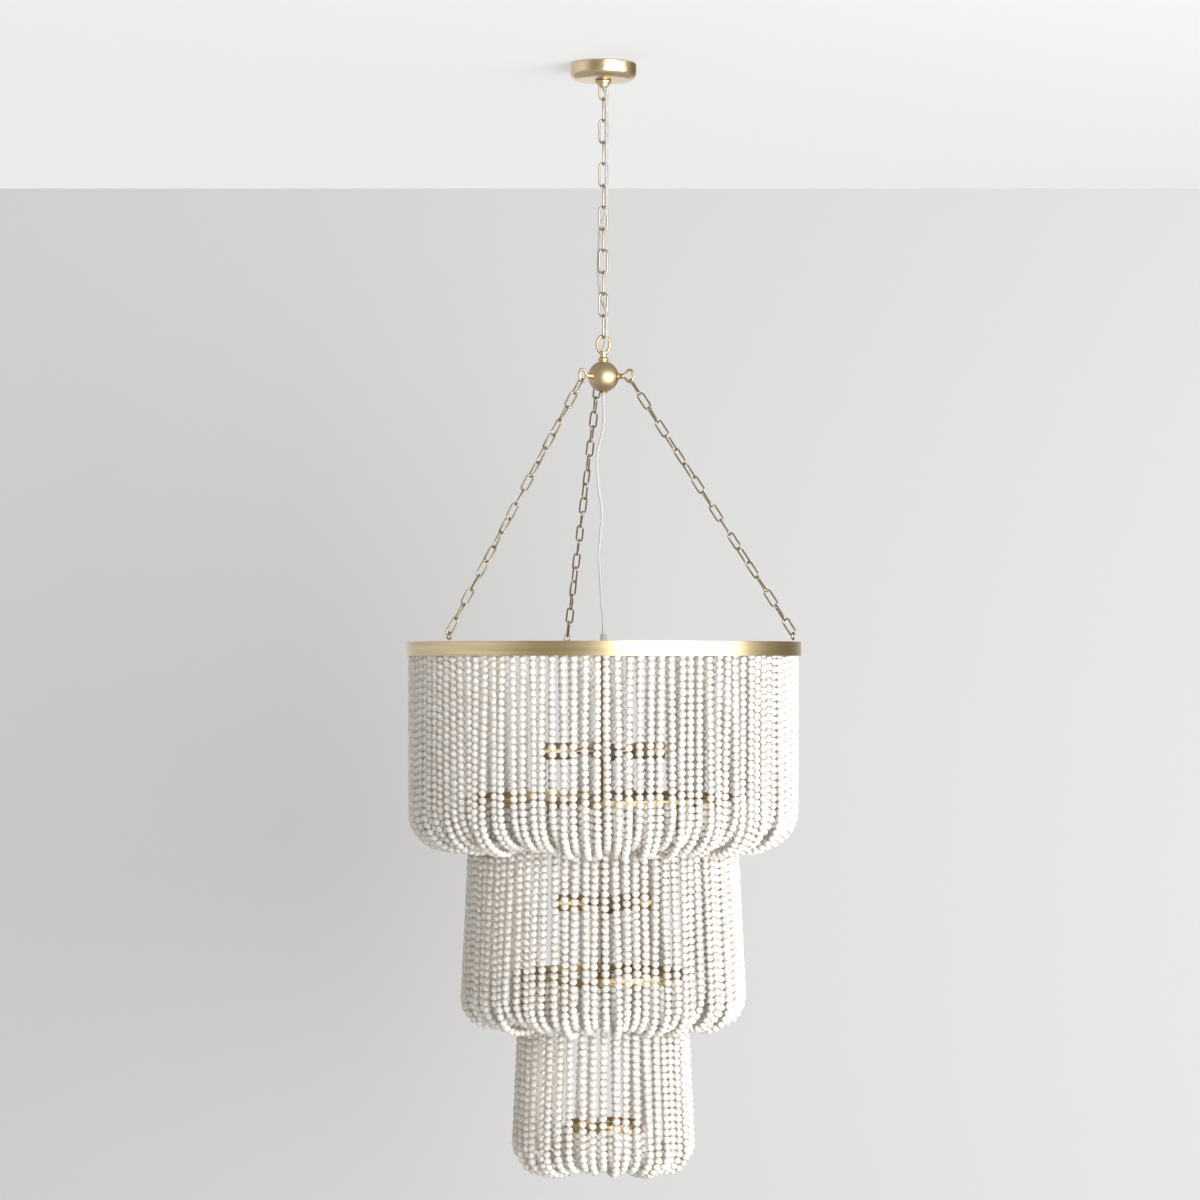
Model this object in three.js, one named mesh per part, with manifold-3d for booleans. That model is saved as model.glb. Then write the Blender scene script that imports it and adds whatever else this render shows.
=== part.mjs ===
// A beaded chandelier. A shallow canopy hides the ceiling bracket, a link chain with a clear cord woven
// through it drops to a brass ball, and three thinner chains spread from the ball to a brass band.
// Three tiers of bead strands hang from the band and from two smaller rings, round a centre rod that
// carries two clusters of four open lamp sockets.
// Millimetres, +Z up, origin on the ceiling plane above the centre of the chain.

import * as THREE from 'three';
import { mergeVertices } from 'three/addons/utils/BufferGeometryUtils.js';
import Module from 'manifold-3d';

const wasm = await Module();
wasm.setup();

// Clearances: pieces that touch stay a seat gap apart, and fused ones reach into each other
const seatGap = 0.3;
const fuseDepth = 0.8;
const cutOverrun = 2;

// Canopy and the collar that screws up against it
const canopyDiameter = 108;
const canopyHeight = 25;
const canopyWall = 1.2;
const canopyEdgeRadius = 8;
const collarDiameter = 26;
const collarHeight = 4;

// Ceiling bracket, which fits inside the canopy, its hollow threaded nipple and its lock nut
const bracketInset = 8;
const bracketLength = canopyDiameter - 2 * bracketInset;
const bracketWidth = 20;
const bracketThickness = 2.5;
const bracketSlotInset = 14;
const bracketSlotSpacing = bracketLength - 2 * bracketSlotInset;
const bracketSlotLength = 14;
const bracketSlotWidth = 4.6;
const nippleDiameter = 10;
const nippleBore = 6.2;
const nippleLength = 24;
const nutAcrossFlats = 16;
const nutThickness = 5;

// Loop that screws on to the nipple and carries the chain
const loopThreadDiameter = 20;
const loopThreadLength = 17;
const loopConeHeight = 6.5;
const loopConeDiameter = 16;
const loopBore = 8;
const loopDrop = 22.5;

// Main chain
const mainWire = 3.2;
const mainLinkWidth = 16;
const mainPitch = 35.1;
const mainLinkCount = 11;

// Ball with its top eye, three side eyes and the bushing under it
const ballDiameter = 50;
const topEyeWidth = 25.4;
const topEyeHeight = 34.8;
const topEyeWire = 4.8;
const topEyeFootRadius = 5.6;
const neckDiameter = 13.4;
const neckHeight = 15.5;
const neckRise = 5;
const flangeDiameter = 16.7;
const flangeThickness = 2;
const sideEyeWire = 3.6;
const sideEyeReach = 51.6;
const sideEyeLength = 16;
const sideEyeHeight = 22.6;
const sideEyeCornerRadius = 4.1;
const sideEyeTipRadius = 2.8;
const sideNeckDiameter = 8.4;
const sideFootDiameter = 11.6;
const sideFootThickness = 2.4;
const bushingDiameter = 11.4;
const bushingHeight = 4;
const bushingTailDiameter = 7.2;
const bushingTailHeight = 7;

// Branch chains, which are drawn straight between the ball and the band
const branchWire = 3;
const branchLinkWidth = 13.5;
const branchLinkCount = 18;
const branchAzimuths = [-19, 101, 221];

// Band, its lugs and the spider inside it
const bandDiameter = 640;
const bandHeight = 23;
const bandWall = 2;
const bandDrop = 429.5;
const lugWire = 3;
const lugWidth = 13;
const lugHeight = 14;
const lugStem = 1.5;
const spokeWidth = 12;
const spokeThickness = 3;
const spiderHubDiameter = 40;
const spiderHubThickness = 6;
const glandTopDiameter = 8.8;
const glandBottomDiameter = 12;
const glandHeight = 13;

// Inner rings, as shares of the band's diameter and at their depths below its top
const ringDiameterShares = [0.7, 0.440625, 0.1875];
const ringDiameters = ringDiameterShares.map((share) => share * bandDiameter);
const ringDepths = [255, 540, 783];
const ringHeight = 12;
const ringWall = 2;
const ringHubDiameter = 26;
const ringSpokeWidth = 9;

// Bead strands. Each tier hangs from a flat ring inside the band or an inner ring, spreads a little
// on its way down and turns in and up to the ring below it
const beadDiameter = 12;
const hangerThickness = 2;
const hangerMargin = 1;
const hangerLift = 7;
const tierCounts = [116, 84, 48];
const tierInsets = [7.5, 11.5, 8];
const tierSpreads = [0, 15, 12];
const tierTurns = [58.8, 41.5, 33];
const tierTopRadii = [bandDiameter / 2 - bandWall, ...ringDiameters.map((diameter) => diameter / 2 - ringWall)]
  .slice(0, tierCounts.length)
  .map((radius, tier) => radius - tierInsets[tier]);
const tierLowRadii = tierTopRadii.map((radius, tier) => radius + tierSpreads[tier]);
const tierBottomRadii = tierLowRadii.map((radius, tier) => radius - tierTurns[tier]);
const tierBottomDepths = [336.5, 366.5, 313.5];

// Centre rod, its coupler, the thinner rod under it and the end nut
const rodDiameter = 9;
const rodBelowRing = 20;
const rodEndDepth = ringDepths[1] + rodBelowRing;
const couplerDiameter = 18;
const couplerHeight = 16;
const lowerRodDiameter = 6;
const endNutDiameter = 13;
const endNutHeight = 12;

// Lamp clusters, at their depths below the top of the band, with the reach of their sockets
const clusterDepths = [177, 422];
const clusterReaches = [100, 77];
const clusterHubDiameter = 30;
const clusterHubHeight = 26;
const socketAzimuths = [-82, 8, 98, 188];
const socketDiameter = 28;
const socketWall = 1.4;
const socketCupLength = 50;
const socketFloor = 2;
const socketShoulder = 5;
const socketArmDiameter = 10;
const insertThickness = 14;

// Clear cord, woven through the main chain and then slack between the ball and the gland
const cordDiameter = 5;
const cordStepDiameters = 3;

// Facets
const canopySegments = 20;
const canopyEdgeSteps = 3;
const bandSegments = 40;
const ringSegments = [30, 24, 20];
const ballSegments = 18;
const ballRows = 6;
const smallSegments = 12;
const slimSegments = 8;
const wireSides = 6;
const eyeSides = 4;
const strandSides = 3;
const cordSides = 8;
const linkBowSteps = 3;
const topEyeBowSteps = 5;

// Heights worked out from the ceiling down
const canopyBottom = -canopyHeight;
const collarTop = canopyBottom - seatGap;
const collarBottom = collarTop - collarHeight;
const loopBodyBottom = collarBottom - loopConeHeight;
const loopWireHeight = loopBodyBottom - loopDrop + mainWire / 2;
const mainContact = mainWire + seatGap;
const topEyeContact = (mainWire + topEyeWire) / 2 + seatGap;
const topEyeHalf = (topEyeHeight - topEyeWire) / 2;
const topEyeWireHeight = loopWireHeight - mainLinkCount * mainPitch + topEyeContact;
const topEyeCentre = topEyeWireHeight - topEyeHalf;
const neckTop = topEyeCentre - topEyeHalf + neckRise;
const flangeTop = neckTop - neckHeight;
const flangeBottom = flangeTop - flangeThickness;
const ballRadius = ballDiameter / 2;
const ballTopFlat = Math.sqrt(ballRadius ** 2 - (flangeDiameter / 2) ** 2);
const ballBottomFlat = Math.sqrt(ballRadius ** 2 - (bushingDiameter / 2) ** 2);
const ballCentre = flangeBottom - seatGap - ballTopFlat;
const bushingTop = ballCentre - ballBottomFlat - seatGap;
const bushingBottom = bushingTop - bushingHeight - bushingTailHeight;
const bandTop = ballCentre - bandDrop;
const spiderTop = bandTop - seatGap;
const glandTop = spiderTop + seatGap + glandHeight;
const ringHeights = ringDepths.map((depth) => bandTop - depth);
const clusterHeights = clusterDepths.map((depth) => bandTop - depth);
const rodBottom = bandTop - rodEndDepth;
const bandInnerRadius = bandDiameter / 2 - bandWall;
const beadRadius = beadDiameter / 2;
const cordRadius = cordDiameter / 2;

const radians = THREE.MathUtils.degToRad;

// Closes a geometry: shared corners merged, flat triangles dropped, faces turned outwards
function closed(geometry) {
  geometry.deleteAttribute('normal');
  geometry.deleteAttribute('uv');
  const merged = mergeVertices(geometry);
  const at = merged.attributes.position;
  const corner = (i) => new THREE.Vector3().fromBufferAttribute(at, i);
  const kept = [];
  let volume = 0;
  for (let i = 0; i < merged.index.count; i += 3) {
    const [a, b, c] = [0, 1, 2].map((k) => merged.index.getX(i + k));
    if (a === b || b === c || c === a) continue;
    kept.push([a, b, c]);
    volume += corner(a).dot(corner(b).cross(corner(c)));
  }
  const faces = volume < 0 ? kept.map(([a, b, c]) => [a, c, b]) : kept;
  merged.setIndex(faces.flat());
  return merged;
}

function toSolid(geometry) {
  return new wasm.Manifold(new wasm.Mesh({
    numProp: 3,
    vertProperties: Float32Array.from(geometry.attributes.position.array),
    triVerts: Uint32Array.from(geometry.index.array),
  }));
}

function toGeometry(solid) {
  const { vertProperties, triVerts } = solid.getMesh();
  const geometry = new THREE.BufferGeometry();
  geometry.setAttribute('position', new THREE.BufferAttribute(vertProperties, 3));
  geometry.setIndex(new THREE.BufferAttribute(triVerts, 1));
  return geometry;
}

function joined(...geometries) {
  return toGeometry(geometries.map(toSolid).reduce((whole, piece) => whole.add(piece)));
}

function cut(geometry, ...tools) {
  return toGeometry(tools.map(toSolid).reduce((whole, tool) => whole.subtract(tool), toSolid(geometry)));
}

// Revolves a closed profile of [radius, height] points about Z
function turned(profile, segments) {
  const points = [...profile, profile[0]].map(([radius, height]) => new THREE.Vector2(radius, height));
  return closed(new THREE.LatheGeometry(points, segments).rotateX(Math.PI / 2));
}

function box(length, width, height) {
  return closed(new THREE.BoxGeometry(length, width, height));
}

// Outline round a ring of circles [across, up, radius], given anticlockwise. Odd steps leave a flat
// at the middle of each arc, where the next link's wire bears.
function roundOutline(circles, steps) {
  const normals = circles.map(([x, z, radius], i) => {
    const [nextX, nextZ, nextRadius] = circles[(i + 1) % circles.length];
    const reach = Math.hypot(nextX - x, nextZ - z);
    return Math.atan2(nextZ - z, nextX - x) - Math.acos((radius - nextRadius) / reach);
  });
  return circles.flatMap(([x, z, radius], i) => {
    const from = normals[(i + circles.length - 1) % circles.length];
    const turn = (((normals[i] - from) % (2 * Math.PI)) + 2 * Math.PI) % (2 * Math.PI);
    return Array.from({ length: steps + 1 }, (_, k) => {
      const inside = k > 0 && k < steps;
      const reach = inside ? radius / Math.cos(turn / steps / 2) : radius;
      const angle = from + (turn * k) / steps;
      return [x + reach * Math.cos(angle), z + reach * Math.sin(angle)];
    });
  });
}

// Sweeps a many-sided wire along [across, up] points in the XZ plane, with mitred corners
function wire(points, radius, sides, loop = false) {
  const last = points.length - 1;
  const positions = points.flatMap(([x, z], i) => {
    const before = points[loop ? (i + last) % points.length : Math.max(i - 1, 0)];
    const after = points[loop ? (i + 1) % points.length : Math.min(i + 1, last)];
    const leaving = new THREE.Vector2(after[0] - x, after[1] - z).normalize();
    const arriving = new THREE.Vector2(x - before[0], z - before[1]).normalize();
    const along = arriving.clone().add(leaving).normalize();
    const mitre = 1 / along.dot(arriving.lengthSq() > 0 ? arriving : leaving);
    return Array.from({ length: sides }, (_, k) => {
      const angle = (2 * Math.PI * k) / sides;
      const across = radius * mitre * Math.cos(angle);
      return [x - along.y * across, radius * Math.sin(angle), z + along.x * across];
    }).flat();
  });
  const faces = [];
  for (let i = 0; i < (loop ? points.length : last); i++) {
    for (let k = 0; k < sides; k++) {
      const a = i * sides + k;
      const b = i * sides + ((k + 1) % sides);
      const c = ((i + 1) % points.length) * sides + ((k + 1) % sides);
      const d = ((i + 1) % points.length) * sides + k;
      faces.push(a, b, c, a, c, d);
    }
  }
  for (let k = 1; !loop && k < sides - 1; k++) {
    faces.push(0, k + 1, k);
    faces.push(last * sides, last * sides + k, last * sides + k + 1);
  }
  const geometry = new THREE.BufferGeometry();
  geometry.setAttribute('position', new THREE.Float32BufferAttribute(positions, 3));
  geometry.setIndex(faces);
  return closed(geometry);
}

// One chain link in the XZ plane, centred on the origin, measured along its wire's centre line
function link(centreLength, width, thickness, sides, steps) {
  const bow = (width - thickness) / 2;
  const arm = centreLength / 2 - bow;
  const circles = [[0, -arm, bow], [0, arm, bow]];
  return wire(roundOutline(circles, steps), thickness / 2, sides, true);
}

// A link with square ends, for the many small ones
function squareLink(centreLength, width, thickness, sides) {
  const [across, up] = [(width - thickness) / 2, centreLength / 2];
  return wire([[-across, -up], [across, -up], [across, up], [-across, up]], thickness / 2, sides, true);
}

function cordAlong(route) {
  const path = new THREE.CatmullRomCurve3(route.map((point) => new THREE.Vector3(...point)), false, 'centripetal');
  const steps = Math.round(path.getLength() / (cordDiameter * cordStepDiameters));
  const section = new THREE.Shape();
  section.absarc(0, 0, cordRadius, 0, 2 * Math.PI);
  const options = { steps, curveSegments: cordSides / 2, bevelEnabled: false, extrudePath: path };
  return closed(new THREE.ExtrudeGeometry(section, options));
}

const finishes = {
  satinBrass: { color: 0xc9a86a, roughness: 0.36, metalness: 1 },
  paleBrass: { color: 0xd6c295, roughness: 0.4, metalness: 1 },
  zincSteel: { color: 0xb9bbb8, roughness: 0.42, metalness: 1 },
  ivoryWood: { color: 0xece2cd, roughness: 0.55, metalness: 0 },
  creamPlastic: { color: 0xe9dfc6, roughness: 0.5, metalness: 0 },
  clearPlastic: { color: 0xdcdcd6, roughness: 0.2, metalness: 0 },
};

const chandelier = new THREE.Group();

function place(name, geometry, finish, { azimuth = 0, height = 0 } = {}) {
  const mesh = new THREE.Mesh(geometry, new THREE.MeshStandardMaterial(finishes[finish]));
  mesh.name = name;
  mesh.rotation.z = radians(azimuth);
  mesh.position.z = height;
  chandelier.add(mesh);
}

// A round hole of smallSegments sides
function roundHole(radius) {
  const hole = new THREE.Path();
  hole.absarc(0, 0, radius, 0, Math.PI);
  hole.absarc(0, 0, radius, Math.PI, 2 * Math.PI);
  return hole;
}

// Ceiling bracket: a flat bar with a slot near each end and a hole for the nipple
function ceilingBracket() {
  const endRadius = bracketWidth / 2;
  const bar = new THREE.Shape();
  const straight = bracketLength / 2 - endRadius;
  bar.absarc(straight, 0, endRadius, -Math.PI / 2, Math.PI / 2);
  bar.absarc(-straight, 0, endRadius, Math.PI / 2, Math.PI * 1.5);
  for (const centre of [-bracketSlotSpacing / 2, bracketSlotSpacing / 2]) {
    const slot = new THREE.Path();
    const slotStraight = (bracketSlotLength - bracketSlotWidth) / 2;
    slot.absarc(centre + slotStraight, 0, bracketSlotWidth / 2, -Math.PI / 2, Math.PI / 2);
    slot.absarc(centre - slotStraight, 0, bracketSlotWidth / 2, Math.PI / 2, Math.PI * 1.5);
    bar.holes.push(slot);
  }
  bar.holes.push(roundHole(nippleDiameter / 2 + seatGap));
  const options = { depth: bracketThickness, bevelEnabled: false, curveSegments: smallSegments / 4 };
  return closed(new THREE.ExtrudeGeometry(bar, options)).translate(0, 0, -bracketThickness);
}

function hollowNipple() {
  const top = -seatGap;
  const bottom = top - nippleLength;
  const [outer, bore] = [nippleDiameter / 2, nippleBore / 2];
  return turned([[bore, top], [bore, bottom], [outer, bottom], [outer, top]], smallSegments);
}

function lockNut() {
  const top = -bracketThickness - seatGap;
  const hex = new THREE.Shape();
  const corner = nutAcrossFlats / 2 / Math.cos(Math.PI / 6);
  hex.setFromPoints(Array.from({ length: 6 }, (_, k) => new THREE.Vector2(
    corner * Math.cos((k * Math.PI) / 3),
    corner * Math.sin((k * Math.PI) / 3),
  )));
  hex.holes.push(roundHole(nippleDiameter / 2 + seatGap));
  const options = { depth: nutThickness, bevelEnabled: false, curveSegments: smallSegments / 4 };
  return closed(new THREE.ExtrudeGeometry(hex, options)).translate(0, 0, top - nutThickness);
}

// Canopy: a thin pan with a rounded lower edge and a hole for the loop's thread
function canopyCover() {
  const outer = canopyDiameter / 2;
  const hole = loopThreadDiameter / 2 + seatGap;
  const arc = (radius) => Array.from({ length: canopyEdgeSteps + 1 }, (_, k) => {
    const angle = (Math.PI / 2) * (k / canopyEdgeSteps);
    return [
      outer - canopyEdgeRadius + radius * Math.cos(angle),
      canopyBottom + canopyEdgeRadius - radius * Math.sin(angle),
    ];
  });
  return turned([
    [outer, 0],
    ...arc(canopyEdgeRadius),
    [hole, canopyBottom],
    [hole, canopyBottom + canopyWall],
    ...arc(canopyEdgeRadius - canopyWall).reverse(),
    [outer - canopyWall, 0],
  ], canopySegments);
}

function collarRing() {
  const bore = loopThreadDiameter / 2 + seatGap;
  const outer = collarDiameter / 2;
  return turned([[bore, collarTop], [bore, collarBottom], [outer, collarBottom], [outer, collarTop]], canopySegments);
}

// Loop: a bored, threaded body that ends in a cone, with a wire bow under it
function canopyLoop() {
  const threadTop = collarBottom + loopThreadLength;
  const nippleSeat = nippleDiameter / 2 + seatGap;
  const nippleEnd = -nippleLength - 2 * seatGap;
  const body = turned([
    [nippleSeat, threadTop],
    [nippleSeat, nippleEnd],
    [loopBore / 2, nippleEnd],
    [loopBore / 2, loopBodyBottom],
    [loopConeDiameter / 2, loopBodyBottom],
    [loopThreadDiameter / 2, collarBottom],
    [loopThreadDiameter / 2, threadTop],
  ], canopySegments);
  const bow = (mainLinkWidth - mainWire) / 2;
  const arcCentre = loopWireHeight + bow;
  const arc = roundOutline([[0, arcCentre, bow], [0, loopBodyBottom + fuseDepth, bow]], linkBowSteps)
    .slice(0, linkBowSteps + 1);
  const legs = [[-bow, loopBodyBottom + fuseDepth], ...arc, [bow, loopBodyBottom + fuseDepth]];
  return joined(body, wire(legs, mainWire / 2, wireSides));
}

// Ball: turned, with a small flat under the neck's flange and another over the bushing
function ball() {
  const top = Math.asin(ballTopFlat / ballRadius);
  const bottom = -Math.asin(ballBottomFlat / ballRadius);
  const side = Array.from({ length: ballRows + 1 }, (_, k) => {
    const angle = top + ((bottom - top) * k) / ballRows;
    return [ballRadius * Math.cos(angle), ballCentre + ballRadius * Math.sin(angle)];
  });
  return turned([[0, ballCentre + ballTopFlat], ...side, [0, ballCentre - ballBottomFlat]], ballSegments);
}

function ballTopEye() {
  const bow = (topEyeWidth - topEyeWire) / 2;
  const foot = [0, topEyeCentre - topEyeHalf + topEyeFootRadius, topEyeFootRadius];
  const eye = wire(
    roundOutline([foot, [0, topEyeCentre + topEyeHalf - bow, bow]], topEyeBowSteps),
    topEyeWire / 2,
    wireSides,
    true,
  );
  const neck = turned([
    [0, neckTop],
    [neckDiameter / 2, neckTop],
    [neckDiameter / 2, flangeTop],
    [flangeDiameter / 2, flangeTop],
    [flangeDiameter / 2, flangeBottom],
    [0, flangeBottom],
  ], smallSegments);
  return joined(eye, neck);
}

// Side eye along +X: a round foot on the ball, a short neck and a rounded triangle of wire
const sideEyeCorner = [
  sideEyeReach - sideEyeWire / 2 - sideEyeCornerRadius,
  (sideEyeHeight - sideEyeWire) / 2 - sideEyeCornerRadius,
];
const sideEyeTip = sideEyeReach - sideEyeLength + sideEyeWire / 2 + sideEyeTipRadius;

function sideEye() {
  const [cornerX, cornerZ] = sideEyeCorner;
  const triangle = wire(roundOutline([
    [sideEyeTip, 0, sideEyeTipRadius],
    [cornerX, -cornerZ, sideEyeCornerRadius],
    [cornerX, cornerZ, sideEyeCornerRadius],
  ], linkBowSteps), sideEyeWire / 2, eyeSides, true);
  const footStart = ballRadius * Math.cos(Math.PI / ballSegments) + seatGap;
  const neckEnd = sideEyeTip - sideEyeTipRadius;
  const neck = turned([
    [0, footStart],
    [sideFootDiameter / 2, footStart],
    [sideFootDiameter / 2, footStart + sideFootThickness],
    [sideNeckDiameter / 2, footStart + sideFootThickness],
    [sideNeckDiameter / 2, neckEnd],
    [0, neckEnd],
  ], slimSegments).rotateY(Math.PI / 2);
  return joined(triangle, neck).translate(0, 0, ballCentre);
}

function cordBushing() {
  const step = bushingTop - bushingHeight;
  return turned([
    [0, bushingTop],
    [bushingDiameter / 2, bushingTop],
    [bushingDiameter / 2, step],
    [bushingTailDiameter / 2, step],
    [bushingTailDiameter / 2, bushingBottom],
    [0, bushingBottom],
  ], smallSegments);
}

// Branch chain along +X from the side eye's lower corner to the lug. Its links bear on one another
// and are fused there; every second one is turned a quarter, and the ends hang clear of both eyes.
const lugCentre = [bandDiameter / 2 - bandWall / 2, bandTop + lugStem + lugHeight / 2];
const lugWireTop = [lugCentre[0], lugCentre[1] + (lugHeight - lugWire) / 2];

function branchChain() {
  const bearing = (branchWire + sideEyeWire) / 2 + seatGap;
  const fused = branchWire - fuseDepth;
  const corner = new THREE.Vector2(sideEyeCorner[0], ballCentre - sideEyeCorner[1]);
  const lug = new THREE.Vector2(...lugWireTop);
  const along = lug.clone().sub(corner).normalize();
  const start = corner.clone().addScaledVector(along, sideEyeCornerRadius);
  const span = start.distanceTo(lug) + 2 * bearing;
  const pitch = (span - fused) / branchLinkCount;
  const centreLength = pitch + fused;
  const tilt = Math.atan2(along.x, -along.y);
  const first = start.clone().addScaledVector(along, -bearing);
  const links = Array.from({ length: branchLinkCount }, (_, k) => {
    const middle = first.clone().addScaledVector(along, k * pitch + centreLength / 2);
    const turn = k % 2 === 0 ? Math.PI / 2 : 0;
    return squareLink(centreLength, branchLinkWidth, branchWire, eyeSides)
      .rotateZ(turn)
      .rotateY(-tilt)
      .translate(middle.x, 0, middle.y);
  });
  return joined(...links);
}

// Band: a plain hoop with three wire lugs on its top edge, each in line with the wall
function bandRing() {
  const outer = bandDiameter / 2;
  const bottom = bandTop - bandHeight;
  const hoop = turned([
    [bandInnerRadius, bandTop],
    [bandInnerRadius, bottom],
    [outer, bottom],
    [outer, bandTop],
  ], bandSegments);
  const bow = (lugWidth - lugWire) / 2;
  const arm = (lugHeight - lugWire) / 2 - bow;
  const lugs = branchAzimuths.map((azimuth) => {
    const eye = wire(roundOutline([[0, -arm, bow], [0, arm, bow]], linkBowSteps), lugWire / 2, eyeSides, true);
    const stem = box(lugWire, lugWire, lugStem + lugWire + fuseDepth)
      .translate(0, 0, -(lugHeight + lugStem + fuseDepth - lugWire) / 2);
    return joined(eye, stem)
      .rotateZ(Math.PI / 2)
      .translate(lugCentre[0], 0, lugCentre[1])
      .rotateZ(radians(azimuth));
  });
  return joined(hoop, ...lugs);
}

// Spokes from a bored hub to a given radius, with their upper faces at one height
function spokes(reach, width, thickness, hubRadius, boreRadius, hubTop, hubBottom, top) {
  const length = reach - hubRadius + fuseDepth;
  const hub = turned([
    [boreRadius, hubTop],
    [boreRadius, hubBottom],
    [hubRadius, hubBottom],
    [hubRadius, hubTop],
  ], smallSegments);
  const bars = branchAzimuths.map((azimuth) => box(length, width, thickness)
    .translate(reach - length / 2, 0, top - thickness / 2)
    .rotateZ(radians(azimuth)));
  return joined(hub, ...bars);
}

function shadeSpider() {
  const flat = bandInnerRadius * Math.cos(Math.PI / bandSegments);
  const hubBottom = spiderTop - spiderHubThickness;
  const bore = rodDiameter / 2 + seatGap;
  return spokes(flat - seatGap, spokeWidth, spokeThickness, spiderHubDiameter / 2, bore, spiderTop, hubBottom, spiderTop);
}

// Gland: a tapered grip on the spider's hub, into which the cord drops
function cordGland() {
  const bottom = spiderTop + seatGap;
  return turned([
    [0, bottom],
    [glandBottomDiameter / 2, bottom],
    [glandTopDiameter / 2, glandTop],
    [0, glandTop],
  ], smallSegments);
}

// Inner ring: a hoop, three spokes and a hub on the rod
function innerRing(index, boreRadius) {
  const outer = ringDiameters[index] / 2;
  const height = ringHeights[index];
  const [top, bottom] = [height + ringHeight / 2, height - ringHeight / 2];
  const hoop = turned([
    [outer - ringWall, top],
    [outer - ringWall, bottom],
    [outer, bottom],
    [outer, top],
  ], ringSegments[index]);
  const reach = outer - ringWall + fuseDepth;
  return joined(hoop, spokes(reach, ringSpokeWidth, spokeThickness, ringHubDiameter / 2, boreRadius, top, bottom, top));
}

// Bead strands of one tier, fused to the flat ring that they hang from. A strand runs down, turns in
// round the lowest circle and rises to the ring below. Where the beads would crowd there, every
// second strand stops as soon as its neighbours touch it.
const hangerOuterRadii = [bandInnerRadius, ringDiameters[0] / 2 - ringWall, ringDiameters[1] / 2 - ringWall]
  .map((radius) => radius - seatGap);
const hangerTops = [bandTop - bandHeight + hangerLift + hangerThickness, ...ringHeights.slice(0, 2)
  .map((height) => height - ringHeight / 2 + (ringHeight - hangerThickness) / 4 + hangerThickness)];

function strandRoute(tier, short) {
  const radius = tierLowRadii[tier] - tierBottomRadii[tier];
  const chamfer = radius * (1 - Math.tan(Math.PI / 8));
  const depth = bandTop - [0, ...ringDepths][tier] - tierBottomDepths[tier];
  const low = tierLowRadii[tier];
  const inner = ringDiameters[tier] / 2 + seatGap + beadRadius;
  const crowded = (tierCounts[tier] * beadDiameter) / (2 * Math.PI);
  const root = [tierTopRadii[tier], hangerTops[tier] - hangerThickness + fuseDepth];
  const end = short && crowded > inner + beadRadius
    ? [[crowded, depth]]
    : [[inner + beadRadius, depth], [inner, ringHeights[tier]]];
  return [root, [low, depth + chamfer], [low - chamfer, depth], ...end];
}

function beadTier(tier) {
  const top = hangerTops[tier];
  const innerRadius = tierTopRadii[tier] - beadRadius - hangerMargin;
  const outerRadius = hangerOuterRadii[tier];
  const hanger = turned([
    [innerRadius, top],
    [innerRadius, top - hangerThickness],
    [outerRadius, top - hangerThickness],
    [outerRadius, top],
  ], [bandSegments, ...ringSegments][tier]);
  const strands = Array.from({ length: tierCounts[tier] }, (_, k) => {
    const strand = wire(strandRoute(tier, k % 2 === 1), beadRadius, strandSides);
    return toSolid(strand.rotateZ((2 * Math.PI * (k + 1 / 2)) / tierCounts[tier]));
  });
  return toGeometry(wasm.Manifold.union([toSolid(hanger), ...strands]));
}

// Centre rod, coupler, lower rod and end nut
const rodTop = spiderTop;
const lowerRodTop = rodBottom - seatGap;
const couplerTop = rodBottom + couplerHeight / 2;
const lowerRodBottom = ringHeights[2] - ringHeight / 2 - endNutHeight / 2;

function rod(diameter, top, bottom) {
  return closed(new THREE.CylinderGeometry(diameter / 2, diameter / 2, top - bottom, smallSegments)
    .rotateX(Math.PI / 2)
    .translate(0, 0, (top + bottom) / 2));
}

function rodCoupler() {
  const outer = couplerDiameter / 2;
  const bottom = couplerTop - couplerHeight;
  const upperBore = rodDiameter / 2 + seatGap;
  const lowerBore = lowerRodDiameter / 2 + seatGap;
  return turned([
    [upperBore, couplerTop],
    [upperBore, lowerRodTop],
    [lowerBore, lowerRodTop],
    [lowerBore, bottom],
    [outer, bottom],
    [outer, couplerTop],
  ], smallSegments);
}

function endNut() {
  const top = ringHeights[2] - ringHeight / 2 - seatGap;
  const bore = lowerRodDiameter / 2 + seatGap;
  const outer = endNutDiameter / 2;
  const rodEnd = lowerRodBottom - seatGap;
  return turned([
    [bore, top],
    [bore, rodEnd],
    [0, rodEnd],
    [0, top - endNutHeight],
    [outer * Math.SQRT1_2, top - endNutHeight],
    [outer, (top - endNutHeight + rodEnd) / 2],
    [outer, top],
  ], smallSegments);
}

function clusterHub(height) {
  const half = clusterHubHeight / 2;
  const bore = rodDiameter / 2 + seatGap;
  const outer = clusterHubDiameter / 2;
  return turned([
    [bore, height + half],
    [bore, height - half],
    [outer, height - half],
    [outer, height + half],
  ], smallSegments);
}

// Lamp socket, turned along its own axis from the hub outwards: an arm, a shoulder and an open cup
function socketProfileStations(reach) {
  const start = clusterHubDiameter / 2 + seatGap;
  const cupStart = reach - socketCupLength;
  return { start, cupStart, shoulderStart: cupStart - socketShoulder, floor: cupStart + socketFloor };
}

function socketCup(reach) {
  const { start, cupStart, shoulderStart, floor } = socketProfileStations(reach);
  const outer = socketDiameter / 2;
  const arm = socketArmDiameter / 2;
  return turned([
    [0, start],
    [arm, start],
    [arm, shoulderStart],
    [outer, cupStart],
    [outer, reach],
    [outer - socketWall, reach],
    [outer - socketWall, floor],
    [0, floor],
  ], slimSegments).rotateY(Math.PI / 2);
}

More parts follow.
